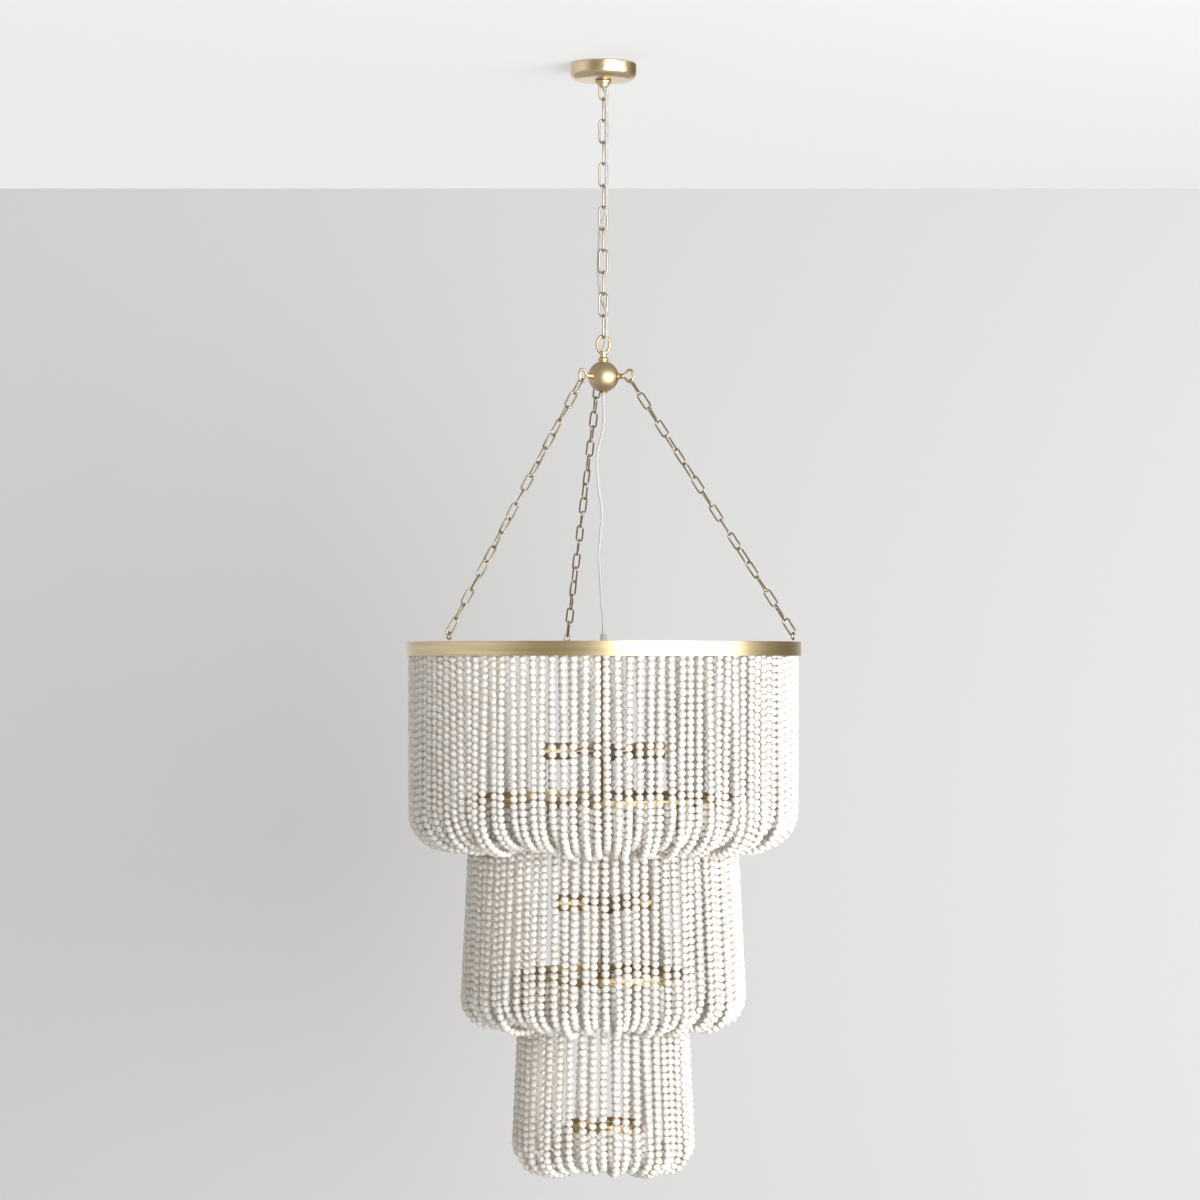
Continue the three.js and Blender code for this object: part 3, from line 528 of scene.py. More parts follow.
turned_piece(
    [
        (10.3, -25.5), (10.3, -29.3), (12.2, -29.3), (12.8, -29.0), (13, -28.5), (13, -26.1),
        (12.8, -25.6), (12.2, -25.3), (10.5, -25.3),
    ],
    "canopy_ring", "collar", satin_gold, "collar_ring", steps=96, sharp=40)
print("canopy:", 2 * CANOPY_RADIUS, "mm across,", CANOPY_DEPTH, "mm deep")

# %% [markdown]
# The loop is one piece: a threaded barrel, a cone and a hoop of wire under it. The barrel and the cone
# are turned, with the thread as fine rings, which look like a screw's and need no helix. The hoop is
# bent, and its two ends go up into the cone.

# %% The loop under the canopy
LOOP_LEG, LOOP_BOW = 15.3, 6.4
bm = bmesh.new()
loop_body = [
    (5.3, -12.3), (5.3, -24.9), (4, -24.9), (4, -35.8),
    *rounded((4, -35.8), (8, -35.8), (10, -29.3), 0.8, 3),
    (10, -29.3), *reversed(threaded(10, -12.3, -29.0, 1.2)),
]
turn_profile(bm, loop_body, steps=72)
hoop = [LOOP_LEG, (LOOP_BOW, math.pi), LOOP_LEG]
bend_wire(bm, (LOOP_BOW, 0, -35), (0, 0, -1), (0, 1, 0), 3.2, hoop, sides=16, closed=False)
add_piece(bm, "loop_body", "ceiling", satin_gold, ["canopy_loop"], sharp=35)
print("ceiling side done")

# %% [markdown]
# A chain link is a straight run, a half turn, a straight run and a half turn. Each of the eleven links
# of the main chain is a piece of its own, turned a quarter from its neighbour. They could be one mesh,
# but as on the real chain each link can be seen and moved by itself, and its place is the solid's.

# %% The main chain
MAIN_LINKS = 11
LINK_LENGTH, LINK_WIDTH, LINK_WIRE = 38.6, 16, 3.2


def link_wire(bm, centre_length, width, thickness, sides):
    bow = (width - thickness) / 2
    run = centre_length - 2 * bow
    half_turn = (bow, math.pi)
    moves = [run, half_turn, run, half_turn]
    bend_wire(bm, (bow, 0, -run / 2), (0, 0, 1), (0, -1, 0), thickness, moves, sides)


for k in range(MAIN_LINKS):
    node = f"main_link_{k + 1:02d}"
    low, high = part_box(node)
    bm = bmesh.new()
    link_wire(bm, LINK_LENGTH, LINK_WIDTH, LINK_WIRE, sides=14)
    put_round(bm, 0 if k % 2 else 90)
    bmesh.ops.translate(bm, verts=bm.verts, vec=(low + high) / 2)
    body = {0: "chain_top", MAIN_LINKS - 1: "chain_end"}.get(k, "chain")
    add_piece(bm, f"chain_link_{k + 1:02d}", body, chain_gold, [node], sharp=0)

# %% [markdown]
# The ball is turned, with a faint ring near its top. A ready sphere has no such ring and is round to
# its poles, where the real ball is cut for its neck and its outlet. So its profile is worked out by
# latitude and spun.

# %% The ball
BRANCH_AZIMUTHS = (-19, 101, 221)
BALL_Z, BALL_RADIUS = -504.86, 25
TOP_LATITUDE, LOW_LATITUDE, BALL_ROWS = 70.46, -76.82, 49
GROOVE_TOP, GROOVE_LOW, GROOVE_DEPTH = 54, 50, 0.45
ball_rows = []
for k in range(BALL_ROWS):
    latitude = TOP_LATITUDE - k * (TOP_LATITUDE - LOW_LATITUDE) / (BALL_ROWS - 1)
    radius = BALL_RADIUS - (GROOVE_DEPTH if GROOVE_LOW < latitude < GROOVE_TOP else 0)
    across, up = math.cos(math.radians(latitude)), math.sin(math.radians(latitude))
    ball_rows.append((radius * across, BALL_Z + radius * up))
turned_piece([(0, ball_rows[0][1]), *ball_rows, (0, ball_rows[-1][1])],
             "ball_shell", "shade", satin_gold, "ball", steps=96, sharp=25, closed=False)
print("ball:", 2 * BALL_RADIUS, "mm across")

# %% [markdown]
# The neck is a small turned collar, and the eye above it is an oval of thick wire. A ring stretched to
# an oval would be thin in places, so the wire is bent: wide bends for the flanks, tight ones between.

# %% The ball's neck and its oval eye
bm = bmesh.new()
neck = [
    (0, -463.5), *rounded((0, -463.5), (6.2, -463.5), (5.4, -473.5), 1.5, 4), (5.4, -473.2), (6.4, -474.2),
    (7.8, -474.9), (8.3, -475.8), (8.35, -478.2), (7.9, -479), (7.3, -479.4), (7.3, -481), (0, -481),
]
turn_profile(bm, neck, steps=64, closed=False)
oval = [(18.5, 38.65), (8, 102.7), (18.5, 87.65), (6, 82), (18.5, 49)]
bends = [(radius, math.radians(bend)) for radius, bend in oval]
bend_wire(bm, (10.3, 0, -453.06), (0, 0, 1), (0, -1, 0), 4.8, bends, sides=20)
add_piece(bm, "ball_neck_eye", "shade", satin_gold, ["ball_top_eye"], sharp=35)

# %% [markdown]
# Three smaller eyes stand round the ball, one for each branch chain. An eye is wire bent to a rounded
# triangle, its tip at the ball and its wide side outwards, and its foot is a turned stud. All three
# are made along +X and then turned to their places.

# %% The side eyes
def side_eye(bm):
    """A rounded triangle of wire along +X, from a small bend at its tip to a bowed outer side."""
    tip_bend, corner_bend, corner_height, bow = 2.8, 5, 4.7, math.radians(25)
    tip, corner = Vector((38.2, 0, 0)), Vector((44.9, 0, corner_height))
    reach = (corner - tip).length
    slope = math.atan2(corner.z, corner.x - tip.x) + math.asin((corner_bend - tip_bend) / reach)
    run = math.sqrt(reach ** 2 - (corner_bend - tip_bend) ** 2)
    turn = math.pi / 2 + slope
    start = tip + Vector((-math.sin(slope), 0, math.cos(slope))) * tip_bend
    moves = [
        run,
        (corner_bend, turn - bow),
        (corner_bend + corner_height / math.sin(bow), 2 * bow),
        (corner_bend, turn - bow),
        run,
        (tip_bend, 2 * math.pi - 2 * turn),
    ]
    bend_wire(bm, start, (math.cos(slope), 0, math.sin(slope)), (0, 1, 0), 4.2, moves, sides=16)


foot = [
    (0, 24.9), (5.5, 24.9), (5.8, 25.2), (5.8, 26.7), (5.3, 27.3), (4.6, 27.6), (4.4, 28.6), (4.3, 33),
    (4.2, 34.6), (3.2, 36.2), (0, 36.6),
]
for k, azimuth in enumerate(BRANCH_AZIMUTHS):
    bm = bmesh.new()
    side_eye(bm)
    part = bmesh.new()
    turn_profile(part, foot, steps=32, closed=False)
    bmesh.ops.rotate(part, verts=part.verts, cent=(0, 0, 0), matrix=Matrix.Rotation(math.pi / 2, 3, "Y"))
    merge_into(bm, part)
    bmesh.ops.translate(bm, verts=bm.verts, vec=(0, 0, BALL_Z * MM))
    put_round(bm, azimuth)
    add_piece(bm, f"side_eye_{k + 1}", "shade", satin_gold, [f"ball_side_eye_{k + 1}"],
              sharp=40)
print("side eyes:", len(BRANCH_AZIMUTHS))

# %% [markdown]
# Under the ball the cord comes out through a brass washer and a clear grip with a waist. Both are
# turned, and the grip is closed, because the cord's end sits against it.

# %% The cord's outlet under the ball
# The washer's dark brown is painted shade under the ball, in the darker rod brass.
turned_piece([(3.6, -529.4), (3.6, -531.2), (6.1, -531.2), (6.4, -530.9), (6.4, -529.7), (6.1, -529.4)],
             "outlet_washer", "shade", rod_brass_with_painted_shade, "cord_bushing", steps=48, sharp=35)
turned_piece(
    [
        (0, -531.4), (5.4, -531.4), (5.7, -531.7), (5.7, -533.2), (5.2, -533.5), (3.6, -533.6),
        (3.4, -536), (3.6, -536.2), (3.4, -538), (3.3, -540.5), (0, -540.5),
    ],
    "ball_cord_outlet", "shade", clear_plastic, "cord_bushing",
    steps=48, sharp=35, closed=False)
print("ball done")

# %% [markdown]
# Each branch chain has eighteen links, drawn straight by the weight of the shade. The first hangs on
# the lower corner of a side eye and the last holds a lug on the band. A chain this taut lies on a
# straight line, so a link's place follows from its number. Real links are never quite square to one
# another, so those between the two ends are twisted a little, one way and the other.

# %% The branch chains
BRANCH_LINKS = 18
BRANCH_WIDTH, BRANCH_WIRE = 13.5, 3


def branch_line():
    """Start, direction, pitch and centre length of the links along +X, as in the solid."""
    corner, lug = Vector((45.7, 0, BALL_Z - 5.4)), Vector((319, 0, -920.36))
    along = (lug - corner).normalized()
    bearing, fused = 3.6, 2.2
    start = corner + along * 4.1
    pitch = ((lug - start).length + 2 * bearing - fused) / BRANCH_LINKS
    return start - along * bearing, along, pitch, pitch + fused


first, along, pitch, centre_length = branch_line()
tilt = math.atan2(along.x, -along.z)
for k, azimuth in enumerate(BRANCH_AZIMUTHS):
    bm = bmesh.new()
    for n in range(BRANCH_LINKS):
        part = bmesh.new()
        link_wire(part, centre_length, BRANCH_WIDTH, BRANCH_WIRE, sides=8)
        held = n in (0, BRANCH_LINKS - 1)
        twist = 0 if held else math.radians(30) * math.sin(0.9 * n + 2 * k)
        turn = Matrix.Rotation((math.pi / 2 if n % 2 == 0 else 0) + twist, 4, "Z")
        middle = Matrix.Translation((first + along * (n * pitch + centre_length / 2)) * MM)
        place = turn_about_axis(azimuth) @ middle @ Matrix.Rotation(-tilt, 4, "Y") @ turn
        bmesh.ops.transform(part, matrix=place, verts=part.verts)
        merge_into(bm, part)
    bmesh.ops.recalc_face_normals(bm, faces=bm.faces)
    add_piece(bm, f"branch_{k + 1}_links", "shade", chain_gold, [f"branch_chain_{k + 1}"],
              sharp=0, recalculate=False)
print("branch chains: tilt", round(math.degrees(tilt), 1), "degrees, pitch", round(pitch, 2), "mm")

# %% [markdown]
# The band is a flat hoop of 2 mm strip with eased edges, and three wire lugs stand on its top edge. A
# short tube could be beveled, but its four edges would have to be found first, so the section of the
# strip is drawn and spun. Each lug is a closed ring of wire on a short peg.

# %% The band and its lugs
BAND_TOP, BAND_HEIGHT, BAND_RADIUS = -934.36, 23, 320
STRIP = 2
EASE = 0.3


def strip_profile(inner, outer, low, high, outer_ease=EASE):
    """The profile of a flat hoop or a hub with eased edges."""
    return [
        (inner, high - EASE), (inner, low + EASE), (inner + EASE, low),
        (outer - outer_ease, low), (outer, low + outer_ease),
        (outer, high - outer_ease), (outer - outer_ease, high), (inner + EASE, high),
    ]


turned_piece(strip_profile(BAND_RADIUS - STRIP, BAND_RADIUS, BAND_TOP - BAND_HEIGHT, BAND_TOP),
             "band_hoop", "shade", band_gold, "band_ring", steps=288, sharp=25)

LUG_WIRE, LUG_BOW, LUG_RUN = 3, 5, 1
PEG_WIRE, PEG_LENGTH = 2.8, 3
lug = [LUG_RUN, (LUG_BOW, math.pi), LUG_RUN, (LUG_BOW, math.pi)]
for k, azimuth in enumerate(BRANCH_AZIMUTHS):
    bm = bmesh.new()
    bend_wire(bm, (0, LUG_BOW, 8), (0, 0, 1), (1, 0, 0), LUG_WIRE, lug, sides=12)
    bend_wire(bm, (0, 0, 0.1), (0, 0, 1), (1, 0, 0), PEG_WIRE, [PEG_LENGTH], sides=12, closed=False)
    bmesh.ops.translate(bm, verts=bm.verts, vec=((BAND_RADIUS - STRIP / 2) * MM, 0, BAND_TOP * MM))
    put_round(bm, azimuth)
    add_piece(bm, f"band_lug_{k + 1}", "shade", chain_gold, ["band_ring"], sharp=40)
print("band:", 2 * BAND_RADIUS, "mm across,", BAND_HEIGHT, "mm high")

# %% [markdown]
# Inside the band three flat spokes meet at a hub, which carries the rod, the lamps and the inner rings.
# The three smaller rings are made alike, so one helper serves all four. The hub and the hoop are
# turned, and a spoke is a cube stretched to a bar, its edges beveled as a file breaks them.

# %% The spider and the inner rings
RINGS = ((224, BAND_TOP - 255), (141, BAND_TOP - 540), (60, BAND_TOP - 783))
SPOKE_THICKNESS = 3


def spoked(name, node, reach, width, hub_radius, bore, top, bottom, rim=None):
    """A bored hub with three flat spokes, and a hoop round them where rim gives its outer radius."""
    bm = bmesh.new()
    turn_profile(bm, strip_profile(bore, hub_radius, bottom, top, outer_ease=0.5), steps=64)
    if rim:
        turn_profile(bm, strip_profile(rim - STRIP, rim, bottom, top), steps=192)
    inside = hub_radius - 0.5
    middle = ((reach + inside) / 2 * MM, 0, (top - SPOKE_THICKNESS / 2) * MM)
    size = ((reach - inside) * MM, width * MM, SPOKE_THICKNESS * MM, 1)
    for azimuth in BRANCH_AZIMUTHS:
        bar = bmesh.new()
        bmesh.ops.create_cube(bar, size=1, matrix=Matrix.Translation(middle) @ Matrix.Diagonal(size))
        bmesh.ops.bevel(bar, geom=bar.edges[:], offset=0.4 * MM, affect="EDGES", segments=2, profile=0.5,
                        material=-1)
        put_round(bar, azimuth)
        merge_into(bm, bar)
    add_piece(bm, name, "shade", inner_brass_with_painted_shade, [node], sharp=30)


spoked("band_spider", "shade_spider", reach=317.5, width=12, hub_radius=20, bore=4.8,
       top=BAND_TOP - 0.3, bottom=BAND_TOP - 6.3)
for k, (radius, height) in enumerate(RINGS):
    bore = 3.3 if k == 2 else 4.8
    spoked(f"tier_ring_{k + 1}", f"inner_ring_{k + 1}", reach=radius - 1, width=9, hub_radius=13, bore=bore,
           top=height + 6, bottom=height - 6, rim=radius)
print("inner rings:", [2 * radius for radius, height in RINGS], "mm across")

# %% [markdown]
# A rod runs down from the spider's hub to the coupler, and a thinner one from there to the domed nut,
# which holds the lowest ring. A cylinder would do for a rod, but its ends would be knife sharp, so it
# is turned with eased ends like its coupler and its nut. The clear gland takes the cord into the hub.

# %% The rods
def rod_profile(radius, top, bottom, ease):
    return [
        (0, top), (radius - ease, top), (radius, top - ease),
        (radius, bottom + ease), (radius - ease, bottom), (0, bottom),
    ]


turned_piece(rod_profile(radius=4.5, top=BAND_TOP - 0.3, bottom=-1494.4, ease=0.3),
             "centre_tube", "shade", rod_brass_with_painted_shade, "centre_rod",
             steps=40, sharp=40, closed=False)
turned_piece(rod_profile(radius=3, top=-1494.7, bottom=-1729.4, ease=0.2),
             "lower_tube", "shade", rod_brass_with_painted_shade, "lower_rod",
             steps=32, sharp=40, closed=False)

# %% The coupler, the nut and the gland
turned_piece(
    [
        (4.8, -1486.4), (4.8, -1494.7), (3.3, -1494.7), (3.3, -1502.4), (7, -1502.4), (8.6, -1501),
        (9, -1499), (9, -1488), (8.2, -1486.6), (7.6, -1486.4),
    ],
    "tube_coupler", "shade", inner_brass_with_painted_shade, "rod_coupler", steps=56, sharp=40)
turned_piece(
    [
        (3.3, -1723.7), (3.3, -1729.7), (0, -1729.7), (0, -1735.7), (3, -1735.4), (4.6, -1734.2),
        (5.8, -1731.8), (6.5, -1729), (6.5, -1724.3), (6, -1723.7),
    ],
    "acorn_nut", "shade", inner_brass_with_painted_shade, "end_nut", steps=48, sharp=35)
turned_piece(
    [
        (0, BAND_TOP), (5.7, BAND_TOP), (6, BAND_TOP + 0.3), (5.9, BAND_TOP + 1.2), (5, BAND_TOP + 12.5),
        (4.7, BAND_TOP + 13), (0, BAND_TOP + 13),
    ],
    "clear_gland", "shade", clear_plastic, "cord_gland", steps=48, sharp=35, closed=False)
print("frame done")

# %% [markdown]
# Each cluster is a turned hub on the rod with four sockets. A socket is an arm, a shoulder with a bead
# and an open cup with a rolled lip, and a cream insert sits deep in it. A socket lies on its side, but
# it is round about its own axis. So it is turned upright and then laid over and turned to its place,
# and one profile serves all eight.

# %% The lamp clusters
SOCKET_AZIMUTHS = (-82, 8, 98, 188)
CLUSTERS = ((BAND_TOP - 177, 100), (BAND_TOP - 422, 77))
CUP_DEPTH = 50


def hub_profile(middle):
    half = [(4.8, 13), (9, 13), (13.6, 11.6), (15, 9)]
    lower = [(radius, middle - up) for radius, up in half]
    upper = [(radius, middle + up) for radius, up in reversed(half)]
    return [*lower, *upper]


def socket_profile(reach):
    cup = reach - CUP_DEPTH
    return [
        (0, 15.3), (4.6, 15.3), (5, 15.7), (5, cup - 5), (8, cup - 4.6), (11, cup - 3), (13.4, cup),
        (13.9, cup + 3), (14, cup + 5), (13.4, cup + 6), (13.4, cup + 7), (14, cup + 8),
        (14, reach - 1.6), (13.9, reach - 0.4), (13.3, reach), (12.7, reach - 0.4), (12.6, reach - 1.6),
        (12.6, cup + 2), (0, cup + 2),
    ]


def insert_profile(cup):
    return [
        (0, cup + 2.3), (12.3, cup + 2.3), (12.3, cup + 15.5), (11.5, cup + 16.3), (9.6, cup + 16.3),
        (9.2, cup + 12), (2.6, cup + 11), (2.2, cup + 13), (0, cup + 13),
    ]


for c, (height, reach) in enumerate(CLUSTERS):
    turned_piece(hub_profile(height), f"lamp_hub_{c + 1}", "shade", inner_brass_with_painted_shade,
                 f"cluster_hub_{c + 1}", steps=64, sharp=35)
    raised = Matrix.Translation((0, 0, height * MM)) @ Matrix.Rotation(math.pi / 2, 4, "Y")
    for n, azimuth in enumerate(SOCKET_AZIMUTHS):
        lay = turn_about_axis(azimuth) @ raised
        number = f"{c + 1}_{n + 1}"
        turned_piece(socket_profile(reach), f"lamp_socket_{number}", "shade", inner_brass_with_painted_shade,
                     f"socket_{number}", steps=48, sharp=40, closed=False, place=lay)
        turned_piece(insert_profile(reach - CUP_DEPTH), f"lamp_insert_{number}", "shade",
                     cream_plastic, f"socket_insert_{number}", steps=40, sharp=40, closed=False, place=lay)
print("lamps done")

# %% [markdown]
# The beads are turned wood, 12 mm by name and up to 13 mm across as painted, and a little flattened
# along the thread, so that they sit 11.3 mm apart. A strand hangs from a flat ring inside the frame,
# runs down, turns in and rises to the ring below. Where the strands would crowd each other under the
# tier, every second one ends. Cloth physics could find how a strand hangs, but its line is so plain
# that two quarter turns give it.

# %% The strands' lines
BEAD = 12
BEAD_PITCH = 11.3
LEAST_LIFT, MOST_LIFT = 1.2, 18.2
# first turns a tier's strands, in degrees. depth is the height of its lowest line, before it is lifted
Tier = namedtuple("Tier", [
    "strands", "first", "top_radius", "low_radius", "bottom_radius", "depth", "top", "hanger",
    "ring_radius", "ring_height",
])
TIERS = (
    Tier(116, -0.65, 310.5, 310.5, 251.7, BAND_TOP - 336.5, BAND_TOP - 16.2, 317.6, *RINGS[0]),
    Tier(84, -1.3, 210.5, 225.5, 184.0, RINGS[0][1] - 366.5, RINGS[0][1] - 3.7, 221.6, *RINGS[1]),
    Tier(48, 3.75, 131.0, 143.0, 110.0, RINGS[1][1] - 313.5, RINGS[1][1] - 3.7, 138.6, *RINGS[2]),
)


def quarter_turn(steps):
    """The cosine and sine at even steps through a right angle."""
    angles = [math.pi / 2 * k / steps for k in range(steps + 1)]
    return [(math.cos(angle), math.sin(angle)) for angle in angles]


def strand_line(tier, chance, short):
    """Points down a strand, round its turn and up to the ring below."""
    inner = tier.ring_radius + 0.3 + BEAD / 2
    crowded = tier.strands * BEAD / (2 * math.pi)
    turn = tier.low_radius - tier.bottom_radius
    lift = LEAST_LIFT + (MOST_LIFT - LEAST_LIFT) * chance.random() ** 1.6
    lowest = tier.depth + lift
    line = [(tier.top_radius, tier.top)]
    line += [(tier.bottom_radius + turn * x, lowest + turn * (1 - z)) for x, z in quarter_turn(24)]
    if short and crowded > inner + BEAD / 2:
        line.append((crowded + 1, lowest))
    else:
        bend = min(18.0, (tier.bottom_radius - inner) * 0.8)
        line += [(inner + bend - bend * z, lowest + bend * (1 - x)) for x, z in quarter_turn(12)]
        line.append((inner, tier.ring_height - 3))
    return [Vector((radius, 0, height)) for radius, height in line]


def along_line(line, spacing, left):
    """Points and directions every spacing along a line, the first one at a given distance."""
    for a, b in zip(line, line[1:]):
        length = (b - a).length
        while left <= length:
            yield a.lerp(b, left / length), (b - a).normalized()
            left += spacing
        left -= length

# %% [markdown]
# A bead is a sphere of eight by six faces, few enough for thousands of them. Copies of one bead would be
# lighter, but each has its own size, turn and tone. So a strand is threaded bead by bead, leaning and
# waving a little, and the strands are joined into a few pieces. The paint reads two attributes: a tone for
# each bead, and how near a vertex is to the hole, where the paint darkens to bare wood and to painted shade
# between the beads.

# %% Threading the beads
BEAD_SIDES, BEAD_ROWS = 8, 6
FLATTENED = 0.89


def threaded_strand(tier, azimuth, chance, short):
    """One strand of beads as a small mesh, and how many beads it has."""
    bm = bmesh.new()
    spacing = 2 * math.pi * tier.top_radius / tier.strands
    phase = chance.uniform(0, 6.28)
    wave = chance.uniform(0.2, 0.9)
    lean_top = chance.uniform(-0.1, 0.1) * spacing
    lean_low = chance.uniform(-0.33, 0.33) * spacing
    line = strand_line(tier, chance, short)
    count = 0
    for at, heading in along_line(line, BEAD_PITCH, BEAD_PITCH * chance.uniform(0.35, 1.2)):
        size = BEAD / 2 * chance.uniform(1.04, 1.1)
        share = (tier.top - at.z) / (tier.top - tier.depth)
        lean = lean_top + (lean_low - lean_top) * share
        sway = lean + wave * math.sin(phase + at.z / 55) + chance.uniform(-0.25, 0.25)
        spot = Vector((at.x - chance.uniform(0, 0.8), sway * at.x / tier.top_radius, at.z))
        turn = heading.to_track_quat("Z", "Y").to_matrix().to_4x4() @ turn_about_axis(chance.uniform(0, 45))
        shape = Matrix.Diagonal((size * MM, size * MM, size * MM * FLATTENED, 1))
        bmesh.ops.create_uvsphere(bm, u_segments=BEAD_SIDES, v_segments=BEAD_ROWS, radius=1,
                                  matrix=Matrix.Translation(spot * MM) @ turn @ shape)
        count += 1
    put_round(bm, azimuth)
    return bm, count


def add_tones(piece, beads, chance):
    """A tone for each bead, the same on all of its vertices, and how near each vertex is to the hole, where
    it darkens: bare wood, and painted shade between beads.
    """
    pattern = bmesh.new()
    bmesh.ops.create_uvsphere(pattern, u_segments=BEAD_SIDES, v_segments=BEAD_ROWS, radius=1)
    # Weight near each hole, where the paint darkens: bare wood, and painted shade between touching beads.
    ends = [max(0, abs(vert.co.z) - 0.78) * 3.2 for vert in pattern.verts]
    pattern.free()
    tones = [chance.random() for _ in range(beads)]
    layer = piece.data.attributes.new("bead_tone", "FLOAT", "POINT")
    layer.data.foreach_set("value", [tone for tone in tones for _ in ends])
    layer = piece.data.attributes.new("bead_hole_shade", "FLOAT", "POINT")
    layer.data.foreach_set("value", ends * beads)


total_beads = 0
for t, tier in enumerate(TIERS):
    shares = 3 if t == 0 else 2
    for share in range(shares):
        chance = random.Random(100 * t + share)
        bm = bmesh.new()
        beads = 0
        for k in range(tier.strands * share // shares, tier.strands * (share + 1) // shares):
            azimuth = 360 * (k + 0.5) / tier.strands + tier.first
            strand, made = threaded_strand(tier, azimuth, chance, k % 2 == 1)
            merge_into(bm, strand)
            beads += made
        piece = add_piece(bm, f"tier_{t + 1}_beads_{share + 1}", "shade", bead_paint,
                          [f"bead_tier_{t + 1}"], sharp=0, recalculate=False)
        add_tones(piece, beads, chance)
        total_beads += beads
print("beads:", total_beads)

# %% [markdown]
# A flat ring carries the strands of each tier on short wire hooks, and small brass eyelets on the ring
# below take the strands' other ends. Hooks and eyelets are tiny and many, so a six sided pin and a
# small ball stand for them, placed by the same steps round the axis as the strands.

# %% The flat rings that the strands hang from
for t, tier in enumerate(TIERS):
    inner, low, high = tier.top_radius - 7, tier.top + 0.2, tier.top + 2
    turned_piece([(inner, low), (tier.hanger, low), (tier.hanger, high), (inner, high)],
                 f"tier_{t + 1}_hanger", "shade", inner_brass_with_painted_shade, f"bead_tier_{t + 1}",
                 steps=192, sharp=30)

# %% The wire hooks at the strands' upper ends
HOOK_RADIUS, HOOK_LENGTH = 1.1, 11


def round_the_axis(azimuth, radius, height):
    return turn_about_axis(azimuth) @ Matrix.Translation(Vector((radius, 0, height)) * MM)


for t, tier in enumerate(TIERS):
    bm = bmesh.new()
    for k in range(tier.strands):
        azimuth = 360 * (k + 0.5) / tier.strands + tier.first
        spot = round_the_axis(azimuth, tier.top_radius, tier.top - HOOK_LENGTH / 2)
        bmesh.ops.create_cone(bm, cap_ends=True, segments=6, radius1=HOOK_RADIUS * MM,
                              radius2=HOOK_RADIUS * MM, depth=HOOK_LENGTH * MM, matrix=spot)
    add_piece(bm, f"tier_{t + 1}_hooks", "shade", inner_brass_with_painted_shade, [f"bead_tier_{t + 1}"],
              sharp=40, recalculate=False)

# %% The brass eyelets on the inner rings
EYELET_RADIUS = 1.6
for t, tier in enumerate(TIERS):
    bm = bmesh.new()
    for k in range(0, tier.strands, 1 if t == 0 else 2):
        azimuth = 360 * (k + 0.5) / tier.strands
        spot = round_the_axis(azimuth, tier.ring_radius + 0.4, tier.ring_height - 0.5)
        bmesh.ops.create_uvsphere(bm, u_segments=8, v_segments=4, radius=EYELET_RADIUS * MM, matrix=spot)
    add_piece(bm, f"tier_{t + 1}_eyelets", "shade", inner_brass_with_painted_shade, [f"bead_tier_{t + 1}"],
              sharp=0, recalculate=False)
print("strands:", [tier.strands for tier in TIERS])

# %% [markdown]
# The bracket is a plain steel bar, hidden by the canopy. The solid already has all of its form, so it
# is the one solid that stays as it is, and it gets the zinc finish.

# %% The bracket
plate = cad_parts["ceiling_bracket"]
plate.data.materials.clear()
plate.data.materials.append(zinc)
print("bracket:", len(plate.data.polygons), "triangles of the solid")

# %% [markdown]
# The room is plain: a pale wall, a pale ceiling and a pale floor. A closed box would shut the light
# and the camera out, so each is one flat sheet that vanishes when it is seen from behind, and the
# chandelier can be looked at from any side. From here on lengths are in metres.

# %% The room
def backdrop(name, place, grey, glow):
    """A wide flat sheet, seen from its front only. glow lifts what the camera sees and lights nothing."""
    bm = bmesh.new()
    bmesh.ops.create_grid(bm, x_segments=1, y_segments=1, size=7, matrix=place)
    mesh = bpy.data.meshes.new(name)
    bm.to_mesh(mesh)
    bm.free()
    sheet = add_object(name, mesh)
    material, tree, shader = new_material(name + " paint")
    shader.inputs["Base Color"].default_value = (grey, grey, grey, 1)
    shader.inputs["Roughness"].default_value = 0.9
    shader.inputs["Emission Color"].default_value = (1, 1, 1, 1)
    to_camera = add_node(tree, "ShaderNodeLightPath").outputs["Is Camera Ray"]
    tree.links.new(add_math(tree, "MULTIPLY", to_camera, glow), shader.inputs["Emission Strength"])
    clear = add_node(tree, "ShaderNodeBsdfTransparent").outputs["BSDF"]
    behind = add_node(tree, "ShaderNodeNewGeometry").outputs["Backfacing"]
    seen = add_node(tree, "ShaderNodeMixShader", {"Fac": behind, 1: shader.outputs["BSDF"], 2: clear})
    tree.links.new(seen.outputs["Shader"], tree.nodes["Material Output"].inputs["Surface"])
    mesh.materials.append(material)
    sheet.visible_diffuse = False
    sheet.visible_glossy = False
    sheet.visible_shadow = False


backdrop("wall", Matrix.Translation((0, 1.5, 0)) @ Matrix.Rotation(math.pi / 2, 4, "X"),
         grey=0.46, glow=0.10)
backdrop("room_ceiling", Matrix.Translation((0, 0, 0.002)) @ Matrix.Rotation(math.pi, 4, "X"),
         grey=0.76, glow=0.30)
backdrop("floor", Matrix.Translation((0, 0, -2.6)), grey=0.22, glow=0.44)

# %% [markdown]
# The light is two wide soft boxes to the right of the camera, a small lamp high at the left and a dim
# one behind. Wide lights give the soft shades of a room by a window, where a point lamp would draw
# hard shadows between the beads. The last two aren't mirrored, so the metal shows no lamp there.

# %% The light
def soft_light(name, at, towards, size, power, mirrored=True):
    data = bpy.data.lights.new(name, "AREA")
    data.shape = "RECTANGLE"
    data.size, data.size_y = size
    data.energy = power
    light = add_object(name, data)
    light.location = at
    light.rotation_euler = (Vector(at) - Vector(towards)).to_track_quat("Z", "Y").to_euler()
    light.visible_camera = False
    light.visible_glossy = mirrored


